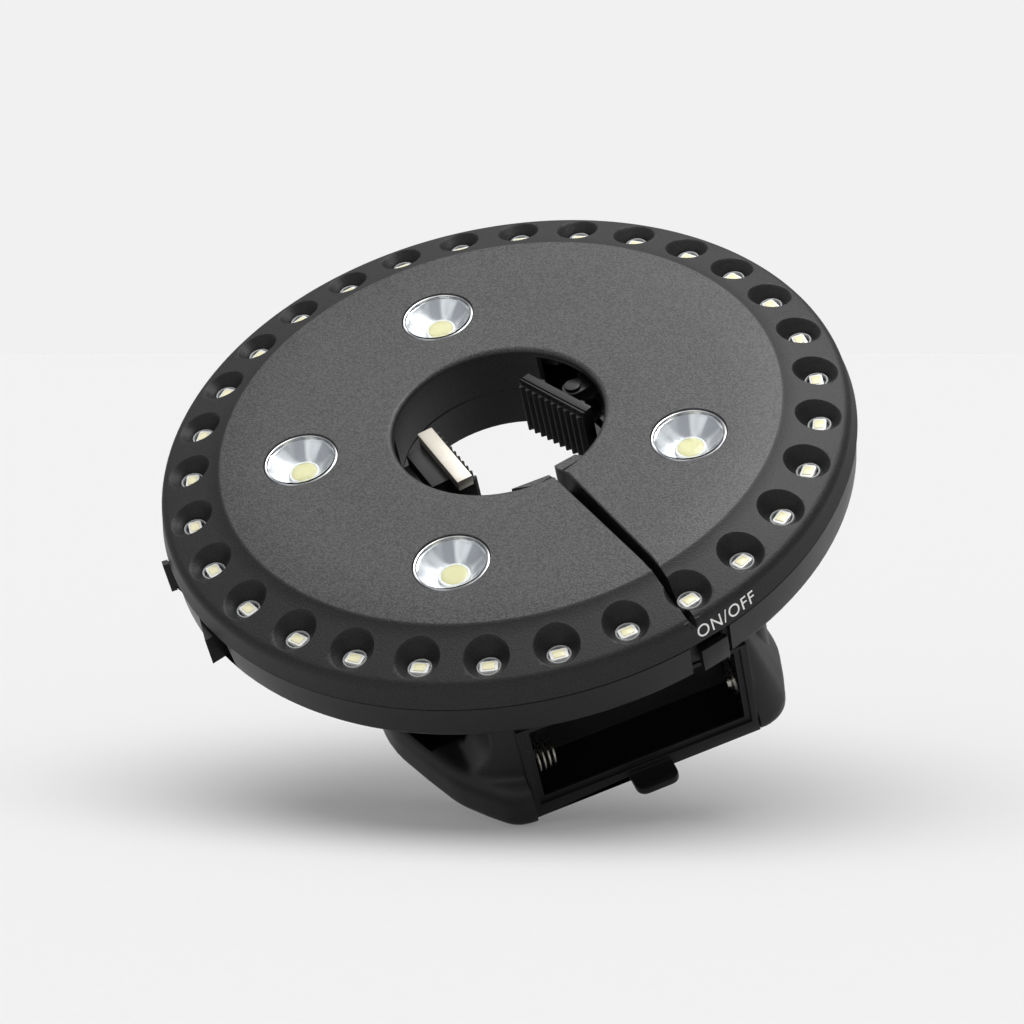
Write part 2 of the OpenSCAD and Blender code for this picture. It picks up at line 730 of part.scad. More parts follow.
module cowl() {
    difference() {
        union() {
            span([-tray_hw - 1, -tray_front_y + 0.1, 0], [tray_hw + 1, flank_back_y, disc_z]);
            difference() {
                lobe_shape(0, disc_z);
                intersection() {
                    lobe_shape(cowl_t, disc_z + 2);
                    span([side_wall_x, -90, -1], [60, cowl_end_y - cowl_t, disc_z + 5]);
                }
            }
            difference() {
                wing_shape(0, plinth_h);
                intersection() {
                    wing_shape(cowl_t, plinth_h + 1);
                    span([-80, flank_back_y + cowl_t, -1], [-side_wall_x, cowl_end_y - cowl_t, disc_z]);
                }
            }
            wing_flank();
            for (p = housing_screw_at)
                translate([p[0], p[1], 0.2]) cylinder(r = 4.6, h = p[0] > 0 ? disc_z - 0.2 : 6);
        }
        // Room for the tray and its frame, and for the pole and its base
        span([-frame_hw - 0.1, -100, -1], [frame_hw + 0.1, -tray_front_y, disc_z + 1]);
        span([-tray_hw - 0.1, -tray_front_y - 1, 1.8], [tray_hw + 0.1, -tray_back_y + 0.1, disc_z + 1]);
        span([-tray_hw - 0.2, flank_back_y, -1], [tray_hw + 0.2, 30, disc_z + 1]);
        span([-80, cowl_end_y, -1], [80, 30, disc_z + 1]);
        for (p = housing_screw_at) translate([p[0], p[1], -1]) {
            cylinder(r = 3.4, h = 5);
            cylinder(r = 1.7, h = 50);
        }
    }
}

// A contact spring: one wire wound into a cone about +X, its foot square to the plate
wire_d = 0.8;
foot_coil_r = 4.6;
tip_coil_r = 3.2;
coil_rise = 6.2;
coil_steps = 8;
wire_sides = 6;
coil_n = contact_turns * coil_steps;

function coil_point(i) =
    let (t = i / coil_n, r = foot_coil_r + (tip_coil_r - foot_coil_r) * t, a = 360 * i / coil_steps)
    [wire_d + coil_rise * t, r * cos(a), r * sin(a)];
function coil_dir(i) =
    let (d = coil_point(i + 0.01) - coil_point(i - 0.01)) d / norm(d);
function coil_out(i) = let (a = 360 * i / coil_steps) [0, cos(a), sin(a)];

wire_path = concat([[0, foot_coil_r, 0], [wire_d * 0.6, foot_coil_r, 0]],
    [for (i = [0:coil_n]) coil_point(i)], [coil_point(coil_n) + wire_d * coil_dir(coil_n)]);
wire_dirs = concat([[1, 0, 0], [1, 0, 0]], [for (i = [0:coil_n]) i == 0
    ? ([1, 0, 0] + coil_dir(0)) / norm([1, 0, 0] + coil_dir(0)) : coil_dir(i)], [coil_dir(coil_n)]);
wire_outs = concat([coil_out(0), coil_out(0)], [for (i = [0:coil_n]) coil_out(i)], [coil_out(coil_n)]);
wire_rings = len(wire_path);

// Least gap between the wire and its own other turns, measured on the path's points
spring_gap = min([for (i = [0:wire_rings - 1], j = [i + coil_steps - 2:1:wire_rings - 1])
    norm(wire_path[i] - wire_path[j])]) - wire_d;
echo(least_contact_spring_gap = spring_gap);

module contact_spring() {
    points = [for (i = [0:wire_rings - 1]) let (side = cross(wire_dirs[i], wire_outs[i]))
        for (k = [0:wire_sides - 1]) let (a = 360 * k / wire_sides)
            wire_path[i] + wire_d / 2 * (cos(a) * wire_outs[i] + sin(a) * side)];
    last = (wire_rings - 1) * wire_sides;
    polyhedron(points = points, faces = concat(
        [[for (k = [0:wire_sides - 1]) k]],
        [for (i = [0:wire_rings - 2], k = [0:wire_sides - 1]) let (a = i * wire_sides + k,
            b = i * wire_sides + (k + 1) % wire_sides) [a, a + wire_sides, b + wire_sides, b]],
        [[for (k = [wire_sides - 1:-1:0]) last + k]]));
}

plate_x = inner_hw - 0.4;

module contact_springs() {
    translate([-plate_x, cell_y, cell_z[0]]) contact_spring();
    translate([plate_x, cell_y, cell_z[1]]) rotate([0, 0, 180]) contact_spring();
}

// A plate at each cell's end; where no spring stands, the plate carries a raised button
module contact_plates() {
    for (side = [-1, 1], z = cell_z) {
        translate([side > 0 ? plate_x : -plate_x - 0.35, cell_y - 5.5, z - 6]) cube([0.35, 11, 12]);
        if (side * (z - 18) < 0) translate([side * plate_x, cell_y, z]) rotate([0, -side * 90, 0]) {
            translate([0, 0, -0.1]) cylinder(r1 = 4.4, r2 = 3.6, h = 0.9);
            translate([0, 0, -0.1]) cylinder(r1 = 2.2, r2 = 1.7, h = 1.9);
        }
    }
}

module front_battery_tray() { color(black_abs) tray(); }
module front_battery_cowl() { color(black_abs) cowl(); }
module front_contact_springs() { color(steel) contact_springs(); }
module front_contact_plates() { color(steel) contact_plates(); }
module rear_battery_tray() { color(black_abs) rotate([0, 0, 180]) tray(); }
module rear_battery_cowl() { color(black_abs) rotate([0, 0, 180]) cowl(); }
module rear_contact_springs() { color(steel) rotate([0, 0, 180]) contact_springs(); }
module rear_contact_plates() { color(steel) rotate([0, 0, 180]) contact_plates(); }

module rear_battery_door() {
    fit = 0.2;
    color(black_abs) rotate([0, 0, 180]) {
        span([-bay_hw - rabbet + fit, -frame_y, bay_low - rabbet + fit],
            [bay_hw + rabbet - fit, -frame_y + 0.95, bay_high + rabbet - fit]);
        span([-bay_hw + fit, -frame_y + 0.9, bay_low + fit], [bay_hw - fit, -frame_y + 1.9, bay_high - fit]);
        for (x = [-9:3:9])
            span([x - 0.6, -frame_y - 0.5, bay_low + 3], [x + 0.6, -frame_y + 0.2, bay_low + 11]);
    }
}

// ---------- fasteners ----------

module screw(head_r, head_h, shank_r, length) {
    difference() {
        union() {
            cylinder(r = head_r, h = head_h);
            cylinder(r = shank_r, h = length);
        }
        for (a = [0, 90]) rotate([0, 0, a])
            translate([-head_r * 0.55, -0.4, -eps]) cube([head_r * 1.1, 0.8, eps + head_h * 0.55]);
    }
}

module shell_screws() {
    color(steel) for (a = shell_screw_angles) at(a, shell_screw_r)
        translate([0, 0, disc_z + 0.2]) screw(2.8, 1.95, screw_r, 13);
}

module housing_screws() {
    color(steel) each_end() for (p = housing_screw_at)
        translate([p[0], p[1], 2]) screw(3.1, 1.95, 1.4, disc_z + 5.5);
}

module board_screws() {
    color(steel) for (a = [60, 120, 240, 300]) at(a, 66)
        translate([0, 0, board_top + 1.4]) mirror([0, 0, 1]) screw(1.9, 1.35, 0.8, 9);
}

upper_shell();
lower_shell();
led_board();
rim_led_set();
reflector_back();
reflector_left();
reflector_front();
reflector_right();
spot_led_back();
spot_led_left();
spot_led_front();
spot_led_right();
spot_cover_back();
spot_cover_left();
spot_cover_front();
spot_cover_right();
driver_chip();
switch_board();
push_switch();
power_button();
left_jaw_carrier();
left_jaw_plate();
left_jaw_pad();
left_jaw_bar();
left_jaw_spring();
left_jaw_rods();
right_jaw_carrier();
right_jaw_plate();
right_jaw_pad();
right_jaw_pin();
right_jaw_spring();
right_jaw_rods();
left_hook();
left_hook_pin();
front_battery_tray();
front_battery_cowl();
front_contact_springs();
front_contact_plates();
rear_battery_tray();
rear_battery_cowl();
rear_contact_springs();
rear_contact_plates();
rear_battery_door();
shell_screws();
housing_screws();
board_screws();
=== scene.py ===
import math

import bmesh
import bpy
from mathutils import Matrix, Vector


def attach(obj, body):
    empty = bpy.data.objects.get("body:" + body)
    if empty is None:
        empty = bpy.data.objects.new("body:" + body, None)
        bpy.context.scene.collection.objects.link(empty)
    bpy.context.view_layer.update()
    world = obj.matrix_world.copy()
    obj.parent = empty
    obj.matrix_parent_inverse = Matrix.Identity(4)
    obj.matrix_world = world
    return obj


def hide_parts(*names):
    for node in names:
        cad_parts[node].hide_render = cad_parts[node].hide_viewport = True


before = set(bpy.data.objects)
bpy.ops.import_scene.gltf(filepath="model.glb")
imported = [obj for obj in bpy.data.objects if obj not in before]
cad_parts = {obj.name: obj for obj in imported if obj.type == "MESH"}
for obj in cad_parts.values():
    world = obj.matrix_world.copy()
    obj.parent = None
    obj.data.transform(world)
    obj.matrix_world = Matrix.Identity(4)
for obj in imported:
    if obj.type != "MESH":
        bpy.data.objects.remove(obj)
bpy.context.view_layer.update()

# A clip-on patio umbrella light in black moulded plastic. Sizes in this script are in millimetres and
# are turned to metres as each mesh is made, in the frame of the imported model.

scene = bpy.context.scene
MM = 0.001


# ---------- camera ----------

def set_camera():
    """The photograph's camera. Gives the picture's downward direction and the line of sight."""
    lens = bpy.data.cameras.new("photo_camera")
    lens.lens, lens.sensor_width = 98.2, 36
    lens.clip_start, lens.clip_end = 0.02, 30
    camera = bpy.data.objects.new("photo_camera", lens)
    right = Vector((0.9255, -0.3367, -0.1734))
    down = Vector((-0.3514, -0.5926, -0.7248))
    forward = Vector((0.1413, 0.7318, -0.6668))
    place = Matrix((right, -down, -forward)).transposed().to_4x4()
    place.translation = Vector((-108.1, -549.5, 521.4)) * MM
    camera.matrix_world = place
    scene.collection.objects.link(camera)
    scene.camera = camera
    return down, forward


image_down, look = set_camera()


# ---------- colours and shader trees ----------

def linear(hex_colour):
    parts = [int(hex_colour[i:i + 2], 16) / 255 for i in (1, 3, 5)]
    return tuple(c / 12.92 if c <= 0.04045 else ((c + 0.055) / 1.055) ** 2.4 for c in parts) + (1,)


def add(tree, kind, settings=None, values=None, links=None):
    """Adds a node to a tree with its settings, its fixed input values and its links."""
    node = tree.nodes.new(kind)
    for key, value in (settings or {}).items():
        setattr(node, key, value)
    for key, value in (values or {}).items():
        node.inputs[key].default_value = value
    for key, source in (links or {}).items():
        tree.links.new(source, node.inputs[key])
    return node


def new_finish(name, hex_colour):
    material = bpy.data.materials.new(name)
    material.use_nodes = True
    material.diffuse_color = linear(hex_colour)
    tree = material.node_tree
    tree.nodes.clear()
    place = add(tree, "ShaderNodeTexCoord").outputs["Object"]
    return material, tree, place


def close_finish(tree, shader):
    add(tree, "ShaderNodeOutputMaterial", links={"Surface": shader.outputs["BSDF"]})


def noise(tree, place, size, detail, roughness=0.5):
    """Noise whose features are about one size across, in millimetres."""
    return add(tree, "ShaderNodeTexNoise", links={"Vector": place}, values={
        "Scale": 1000 / size, "Detail": detail, "Roughness": roughness}).outputs["Fac"]


def mapped(tree, value, low=0.0, high=1.0, to_low=0.0, to_high=1.0):
    return add(tree, "ShaderNodeMapRange", links={"Value": value}, values={
        "From Min": low, "From Max": high, "To Min": to_low, "To Max": to_high}).outputs["Result"]


def tinted(tree, factor, one, other):
    """A colour between two sRGB colours."""
    mix = add(tree, "ShaderNodeMix", {"data_type": "RGBA"}, links={"Factor": factor})
    mix.inputs[6].default_value, mix.inputs[7].default_value = linear(one), linear(other)
    return mix.outputs[2]


def embossed(tree, height, strength, depth):
    """Relief of a depth in millimetres."""
    return add(tree, "ShaderNodeBump", values={"Strength": strength, "Distance": depth * MM},
               links={"Height": height}).outputs["Normal"]


def math_of(tree, operation, one, other):
    return add(tree, "ShaderNodeMath", {"operation": operation}, links={0: one, 1: other}).outputs[0]


def moulded_finish(name, hex_colour, lighter, rough, grain, depth, specular=0.5):
    """A moulded plastic or rubber: mould grain of a size in mm and a depth in mm, and faint flow blotches."""
    material, tree, place = new_finish(name, hex_colour)
    flow = noise(tree, place, 22, 3.0, 0.55)
    speck = noise(tree, place, grain, 2.0, 0.6)
    both = add(tree, "ShaderNodeMix", {"data_type": "FLOAT"}, {"Factor": 0.55}, {"A": flow, "B": speck})
    tint = tinted(tree, mapped(tree, both.outputs[0], 0.35, 0.65), hex_colour, lighter)
    gloss = mapped(tree, flow, 0.3, 0.7, rough - 0.04, rough + 0.05)
    shader = add(tree, "ShaderNodeBsdfPrincipled", values={"IOR": 1.52, "Specular IOR Level": specular},
                 links={"Base Color": tint, "Roughness": gloss, "Normal": embossed(tree, speck, 0.6, depth)})
    close_finish(tree, shader)
    return material


def grained_shell():
    """Black ABS from a spark-eroded mould: a pebbled top inside the 74.4 mm ring, coloured paler as a painted
    sheen, and round it a darker, finer band down to the smooth satin side wall. The pebble is about 0.5 mm."""
    material, tree, place = new_finish("spark_textured_abs_painted_sheen", "#2b2b2b")
    spot = add(tree, "ShaderNodeSeparateXYZ", links={"Vector": place}).outputs
    reach = math_of(tree, "ADD", math_of(tree, "MULTIPLY", spot["X"], spot["X"]),
                    math_of(tree, "MULTIPLY", spot["Y"], spot["Y"]))
    far = add(tree, "ShaderNodeMath", {"operation": "SQRT"}, links={0: reach}).outputs[0]
    inside = mapped(tree, far, 74.3 * MM, 75.1 * MM, 1.0, 0.0)
    high = mapped(tree, spot["Z"], 52.2 * MM, 52.9 * MM)
    top = math_of(tree, "MULTIPLY", inside, high)
    above_wall = mapped(tree, spot["Z"], 46.2 * MM, 48.6 * MM)
    pebble = noise(tree, place, 0.5, 1.5, 0.6)
    fine = noise(tree, place, 0.45, 2.0, 0.6)
    flow = noise(tree, place, 40, 2.0)
    grain = add(tree, "ShaderNodeMix", {"data_type": "FLOAT"},
                links={"Factor": top, "A": fine, "B": pebble}).outputs[0]
    shade = mapped(tree, grain, 0.36, 0.64)
    # The flat top's paler colours are a painted sheen; the band keeps the plastic's own near-black
    tint = add(tree, "ShaderNodeMix", {"data_type": "RGBA"}, links={
        "Factor": top, 6: tinted(tree, shade, "#101010", "#1e1e1e"),
        7: tinted(tree, shade, "#292929", "#494949")})
    rough = add(tree, "ShaderNodeMath", {"operation": "MULTIPLY_ADD"}, values={1: 0.12},
                links={0: flow, 2: mapped(tree, top, to_low=0.42, to_high=0.36)})
    amount = add(tree, "ShaderNodeMix", {"data_type": "FLOAT"}, values={"A": 0.1, "B": 0.5},
                 links={"Factor": above_wall})
    relief = add(tree, "ShaderNodeBump", values={"Distance": 0.2 * MM},
                 links={"Strength": amount.outputs[0], "Height": grain})
    shader = add(tree, "ShaderNodeBsdfPrincipled", values={"IOR": 1.53}, links={
        "Base Color": tint.outputs[2], "Roughness": rough.outputs[0], "Normal": relief.outputs["Normal"],
        "Specular IOR Level": mapped(tree, top, to_low=0.28, to_high=0.3)})
    close_finish(tree, shader)
    return material


def metal_finish(name, hex_colour, other, rough, stretch, depth):
    """A plated or brushed metal: fine tool lines drawn out along one direction."""
    material, tree, place = new_finish(name, hex_colour)
    drawn = add(tree, "ShaderNodeMapping", values={"Scale": stretch}, links={"Vector": place})
    lines = noise(tree, drawn.outputs[0], 0.5, 3.0)
    tint = tinted(tree, noise(tree, place, 6, 2.0), hex_colour, other)
    gloss = mapped(tree, lines, 0.3, 0.7, rough - 0.05, rough + 0.07)
    shader = add(tree, "ShaderNodeBsdfPrincipled", values={"Metallic": 1.0},
                 links={"Base Color": tint, "Roughness": gloss, "Normal": embossed(tree, lines, 0.35, depth)})
    close_finish(tree, shader)
    return material


def mirror_finish():
    """Aluminium laid on plastic in a vacuum: a hazy mirror with broad bright and dull bands of painted
    reflection.
    """
    material, tree, place = new_finish("vacuum_aluminium", "#d4d4d6")
    facing = add(tree, "ShaderNodeTexCoord").outputs["Normal"]
    round_cup = add(tree, "ShaderNodeMapping", values={"Scale": (1.0, 1.0, 0.0)}, links={"Vector": facing})
    painted_reflection_bands = add(tree, "ShaderNodeTexNoise", values={"Scale": 2.3, "Detail": 1.5},
                 links={"Vector": round_cup.outputs[0]})
    # A painted reflection: bright and dull bands set by the way the surface faces round the cup
    tint = tinted(tree, mapped(tree, painted_reflection_bands.outputs["Fac"], 0.4, 0.6), "#9c9da3", "#f4f4f5")
    haze = noise(tree, place, 1.5, 2.0)
    gloss = mapped(tree, haze, to_low=0.26, to_high=0.34)
    shader = add(tree, "ShaderNodeBsdfPrincipled", values={"Metallic": 1.0},
                 links={"Base Color": tint, "Roughness": gloss, "Normal": embossed(tree, haze, 0.15, 0.03)})
    close_finish(tree, shader)
    return material


def clear_finish():
    """Clear moulded polycarbonate: nearly no colour, a glossy skin with a trace of flow ripple."""
    material, tree, place = new_finish("clear_polycarbonate", "#eef2f4")
    ripple = noise(tree, place, 5, 1.0)
    shader = add(tree, "ShaderNodeBsdfPrincipled", values={
        "Base Color": linear("#f6f9fa"), "Roughness": 0.04, "IOR": 1.2, "Transmission Weight": 1.0},
        links={"Normal": embossed(tree, ripple, 0.15, 0.05)})
    close_finish(tree, shader)
    return material


def phosphor_finish(name, hex_colour, other):
    """Phosphor-filled silicone of an unlit white lamp: soft yellow grains under a glossy skin."""
    material, tree, place = new_finish(name, hex_colour)
    grains = noise(tree, place, 0.9, 3.0)
    shader = add(tree, "ShaderNodeBsdfPrincipled", values={
        "Roughness": 0.25, "IOR": 1.42, "Coat Weight": 0.3, "Coat Roughness": 0.1}, links={
        "Base Color": tinted(tree, grains, hex_colour, other), "Normal": embossed(tree, grains, 0.2, 0.05)})
    close_finish(tree, shader)
    return material


# The upper shell: spark-textured ABS, black, its flat top painted paler than the rim band as a painted sheen
shell_painted_sheen = grained_shell()
# The lower shell, the housings and the rear door: ABS from a smooth mould, satin and nearly black
satin_abs = moulded_finish("satin_black_abs", "#121213", "#19191a", 0.4, 0.6, 0.03, 0.28)
# The jaws, hook and button: the same plastic, a little glossier from handling
worn_abs = moulded_finish("handled_black_abs", "#101011", "#181819", 0.36, 0.5, 0.025, 0.3)
# The battery trays: the same plastic, coloured darker as the painted shade of the deep bays, and duller
bay_abs_painted_shade = moulded_finish("bay_black_abs_painted_shade", "#0a0a0b", "#121213", 0.46, 0.6, 0.03, 0.22)
# The jaw pads: soft black rubber, dull, with a dusty bloom on its ribs
pad_rubber = moulded_finish("nitrile_rubber", "#101010", "#1c1c1c", 0.62, 0.4, 0.05, 0.35)
# The left jaw's bar: satin-ground stainless strip, slightly warm
bar_steel = metal_finish("satin_stainless", "#cbc6bc", "#b7b2a8", 0.46, (1, 1, 6), 0.02)
# Pins, rods, screws and springs: zinc-plated steel
zinc_steel = metal_finish("zinc_plated_steel", "#b4b4b0", "#8f908e", 0.32, (4, 1, 1), 0.02)
# Battery contacts: nickel-plated spring steel, coloured darker as the painted shade of the dim bays, its tone
# varying at random
nickel = metal_finish("nickel_plate_painted_shade", "#a8a49c", "#8d8a84", 0.24, (1, 1, 1), 0.01)
# Reflectors: vacuum-deposited aluminium on plastic, with bright and dull bands of painted reflection
mirror = mirror_finish()
# The covers of the spot lamps: clear polycarbonate
clear_cover = clear_finish()
# Circuit board: black solder mask over the weave; the small switch board has the usual green one
board_mask = moulded_finish("black_solder_mask", "#151716", "#1f2220", 0.4, 0.4, 0.02)
green_mask = moulded_finish("green_solder_mask", "#12402a", "#1b5336", 0.35, 0.4, 0.02)
# Chip and switch bodies: black epoxy, matt
chip_epoxy = moulded_finish("black_epoxy", "#1a1a1b", "#262627", 0.5, 0.4, 0.02)
# Lamp packages: white moulded ceramic-filled resin, slightly glossy
lamp_white = moulded_finish("white_lamp_resin", "#e6e6e2", "#f2f2ee", 0.3, 0.4, 0.01)
# The pale rims round the rim lamps: milky silicone, coloured grey as the painted shade down in its pit
lamp_rim_painted_shade = moulded_finish("milky_silicone_painted_shade", "#8f9192", "#a3a5a6", 0.3, 0.4, 0.01)
# The windows of the lamps: phosphor in silicone, paler in the small ones
rim_phosphor = phosphor_finish("rim_lamp_phosphor", "#e4dfae", "#efe9c6")
spot_phosphor = phosphor_finish("spot_lamp_phosphor", "#d3ca86", "#ded7a2")
# ON and OFF marking: white pad-printed ink, slightly uneven
white_ink = moulded_finish("pad_print_ink", "#e4e4e2", "#f4f4f2", 0.45, 0.5, 0.01)


# ---------- mesh tools ----------

def mesh_from(name, points, faces):
    mesh = bpy.data.meshes.new(name)
    mesh.from_pydata([Vector(p) * MM for p in points], [], faces)
    work = bmesh.new()
    work.from_mesh(mesh)
    bmesh.ops.remove_doubles(work, verts=work.verts, dist=1e-7)
    bmesh.ops.recalc_face_normals(work, faces=work.faces)
    work.to_mesh(mesh)
    work.free()
    return mesh


def lathe(profile, steps, centre=(0, 0), closed=True):
    """Turns a profile of (radius, height) points round an upright axis. A closed profile makes a ring; an
    open one runs from axis to axis."""
    points, faces, rows = [], [], len(profile)
    for k in range(steps):
        a = 2 * math.pi * k / steps
        points += [(centre[0] + r * math.cos(a), centre[1] + r * math.sin(a), z) for r, z in profile]
    for k in range(steps):
        here, there = k * rows, (k + 1) % steps * rows
        for i in range(rows if closed else rows - 1):
            j = (i + 1) % rows
            faces.append((here + i, there + i, there + j, here + j))
    return mesh_from("turned", points, faces)


def loft(rings):
    """Joins rings with the same number of points into a closed solid."""
    n, points, faces = len(rings[0]), [p for ring in rings for p in ring], []
    for i in range(len(rings) - 1):
        for k in range(n):
            a, b = i * n + k, i * n + (k + 1) % n
            faces.append((a, b, b + n, a + n))
    faces.append(tuple(range(n - 1, -1, -1)))
    faces.append(tuple(range((len(rings) - 1) * n, len(rings) * n)))
    return mesh_from("lofted", points, faces)


def block(low, high):
    xs, ys, zs = zip(low, high)
    points = [(x, y, z) for z in zs for y in ys for x in xs]
    faces = [(0, 2, 3, 1), (4, 5, 7, 6), (0, 1, 5, 4), (2, 6, 7, 3), (0, 4, 6, 2), (1, 3, 7, 5)]
    return mesh_from("block", points, faces)


def prism(outline, low, high):
    return loft([[(x, y, z) for x, y in outline] for z in (low, high)])


def turned(mesh, degrees, by=(0, 0, 0)):
    """Turns a mesh about the pole axis and then moves it, in millimetres."""
    mesh.transform(Matrix.Translation(Vector(by) * MM) @ Matrix.Rotation(math.radians(degrees), 4, "Z"))
    return mesh


def joined(meshes):
    work = bmesh.new()
    for mesh in meshes:
        work.from_mesh(mesh)
    whole = bpy.data.meshes.new("joined")
    work.to_mesh(whole)
    work.free()
    return whole


def with_modifier(mesh, kind, **settings):
    """Applies one modifier to a mesh and gives the plain result."""
    holder = bpy.data.objects.new("holder", mesh)
    scene.collection.objects.link(holder)
    modifier = holder.modifiers.new("shape", kind)
    for key, value in settings.items():
        setattr(modifier, key, value)
    result = bpy.data.meshes.new_from_object(holder.evaluated_get(bpy.context.evaluated_depsgraph_get()))
    bpy.data.objects.remove(holder)
    return result


def combined(base, tool, operation):
    other = bpy.data.objects.new("tool", tool)
    scene.collection.objects.link(other)
    result = with_modifier(base, "BOOLEAN", object=other, operation=operation, solver="MANIFOLD")
    bpy.data.objects.remove(other)
    return result


def cut(base, *tools):
    for tool in tools:
        base = combined(base, tool, "DIFFERENCE")
    return base


def fused(base, *tools):
    for tool in tools:
        base = combined(base, tool, "UNION")
    return base


def common(base, tool):
    return combined(base, tool, "INTERSECT")


def arc(cx, cz, r, start, end, steps):
    return [(cx + r * math.cos(math.radians(start + (end - start) * i / steps)),
             cz + r * math.sin(math.radians(start + (end - start) * i / steps))) for i in range(steps + 1)]


def smooth(mesh, degrees):
    mesh.shade_smooth()
    mesh.set_sharp_from_angle(angle=math.radians(degrees))
    return mesh


def piece(name, mesh, body, nodes, finish, crease=35):
    """Makes a finished piece of a mesh: it rides on a body and stands for its CAD nodes."""
    smooth(mesh, crease)
    mesh.materials.clear()
    mesh.materials.append(finish)
    made = bpy.data.objects.new(name, mesh)
    mesh.name = name
    scene.collection.objects.link(made)
    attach(made, body)
    if nodes:
        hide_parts(*nodes)
    return made


def cleaned(node):
    """A plain copy of a CAD node's solid, its points welded and its flat faces whole."""
    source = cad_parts[node].data
    copy = bpy.data.meshes.new(node + "_copy")
    copy.from_pydata([v.co.copy() for v in source.vertices], [], [tuple(p.vertices) for p in source.polygons])
    work = bmesh.new()
    work.from_mesh(copy)
    bmesh.ops.remove_doubles(work, verts=work.verts, dist=2e-6)
    bmesh.ops.dissolve_limit(work, angle_limit=math.radians(1), verts=work.verts, edges=work.edges)
    work.to_mesh(copy)
    work.free()
    return copy


def eased_copy(node, edge, segments=2, crease=30):
    """A CAD node's solid with its sharp edges eased by a small radius, as a mould leaves them."""
    return with_modifier(cleaned(node), "BEVEL", width=edge * MM, segments=segments, limit_method="ANGLE",
                         angle_limit=math.radians(crease), use_clamp_overlap=True)


# ---------- geometry-node trees ----------

def start_tree(name, inputs):
    tree = bpy.data.node_groups.new(name, "GeometryNodeTree")
    for label, kind in inputs:
        tree.interface.new_socket(name=label, in_out="INPUT", socket_type=kind)
    tree.interface.new_socket(name="Geometry", in_out="OUTPUT", socket_type="NodeSocketGeometry")
    return tree, tree.nodes.new("NodeGroupInput")


def end_tree(tree, geometry, finish):
    """Makes the instances real, gives them their finish and closes the tree."""
    real = add(tree, "GeometryNodeRealizeInstances", links={"Geometry": geometry})
    done = add(tree, "GeometryNodeSetMaterial", links={"Geometry": real.outputs[0], "Material": finish})
    add(tree, "NodeGroupOutput", links={"Geometry": done.outputs[0]})
    return tree


def grown(tree, **inputs):
    """Runs a tree once and gives the plain mesh that it makes."""
    holder = bpy.data.objects.new("grown", bpy.data.meshes.new("grown"))
    scene.collection.objects.link(holder)
    modifier = holder.modifiers.new("grown", "NODES")
    modifier.node_group = tree
    names = {s.name: s.identifier for s in tree.interface.items_tree if s.in_out == "INPUT"}
    for label, value in inputs.items():
        modifier[names[label]] = value
    mesh = bpy.data.meshes.new_from_object(holder.evaluated_get(bpy.context.evaluated_depsgraph_get()))
    holder.modifiers.remove(modifier)
    bpy.data.objects.remove(holder)
    return mesh


def ring_tree():
    """Sets one shape at each of the given places, turned to face away from the pole axis."""
    tree, given = start_tree("ring_of_lamps", [
        ("Shape", "NodeSocketObject"), ("Places", "NodeSocketObject"), ("Finish", "NodeSocketMaterial")])
    places = add(tree, "GeometryNodeObjectInfo", links={"Object": given.outputs["Places"]})
    spot = add(tree, "ShaderNodeSeparateXYZ", links={0: add(tree, "GeometryNodeInputPosition").outputs[0]})
    angle = math_of(tree, "ARCTAN2", spot.outputs["Y"], spot.outputs["X"])
    turn = add(tree, "ShaderNodeCombineXYZ", links={"Z": angle})
    shape = add(tree, "GeometryNodeObjectInfo", links={"Object": given.outputs["Shape"]})
    copies = add(tree, "GeometryNodeInstanceOnPoints", links={
        "Points": places.outputs["Geometry"], "Instance": shape.outputs["Geometry"],
        "Rotation": turn.outputs[0]})
    return end_tree(tree, copies.outputs[0], given.outputs["Finish"])


def coil_tree():
    """Winds a wire into a cylinder or a cone that rises along +Z."""
    tree, given = start_tree("wound_spring", [
        ("Turns", "NodeSocketFloat"), ("Foot", "NodeSocketFloat"), ("Tip", "NodeSocketFloat"),
        ("Length", "NodeSocketFloat"), ("Wire", "NodeSocketFloat"), ("Finish", "NodeSocketMaterial")])
    path = add(tree, "GeometryNodeCurveSpiral", values={"Resolution": 40}, links={
        "Rotations": given.outputs["Turns"], "Start Radius": given.outputs["Foot"],
        "End Radius": given.outputs["Tip"], "Height": given.outputs["Length"]})
    ring = add(tree, "GeometryNodeCurvePrimitiveCircle", values={"Resolution": 10},
               links={"Radius": given.outputs["Wire"]})
    wire = add(tree, "GeometryNodeCurveToMesh", values={"Fill Caps": True},
               links={"Curve": path.outputs[0], "Profile Curve": ring.outputs[0]})
    return end_tree(tree, wire.outputs[0], given.outputs["Finish"])


def row_tree():
    """Sets one shape in a straight row along Y, centred on the origin."""
    tree, given = start_tree("row_of_ribs", [
        ("Shape", "NodeSocketObject"), ("Count", "NodeSocketInt"), ("Pitch", "NodeSocketFloat"),
        ("Finish", "NodeSocketMaterial")])
    number = add(tree, "GeometryNodeInputIndex")
    last = add(tree, "ShaderNodeMath", {"operation": "SUBTRACT"}, {1: 1.0}, {0: given.outputs["Count"]})
    half = add(tree, "ShaderNodeMath", {"operation": "MULTIPLY"}, {1: 0.5}, {0: last.outputs[0]})
    step = math_of(tree, "SUBTRACT", number.outputs[0], half.outputs[0])
    y = math_of(tree, "MULTIPLY", step, given.outputs["Pitch"])
    spot = add(tree, "ShaderNodeCombineXYZ", links={"Y": y})
    points = add(tree, "GeometryNodePoints", links={
        "Count": given.outputs["Count"], "Position": spot.outputs[0]})
    shape = add(tree, "GeometryNodeObjectInfo", links={"Object": given.outputs["Shape"]})
    copies = add(tree, "GeometryNodeInstanceOnPoints", links={
        "Points": points.outputs[0], "Instance": shape.outputs["Geometry"]})
    return end_tree(tree, copies.outputs[0], given.outputs["Finish"])


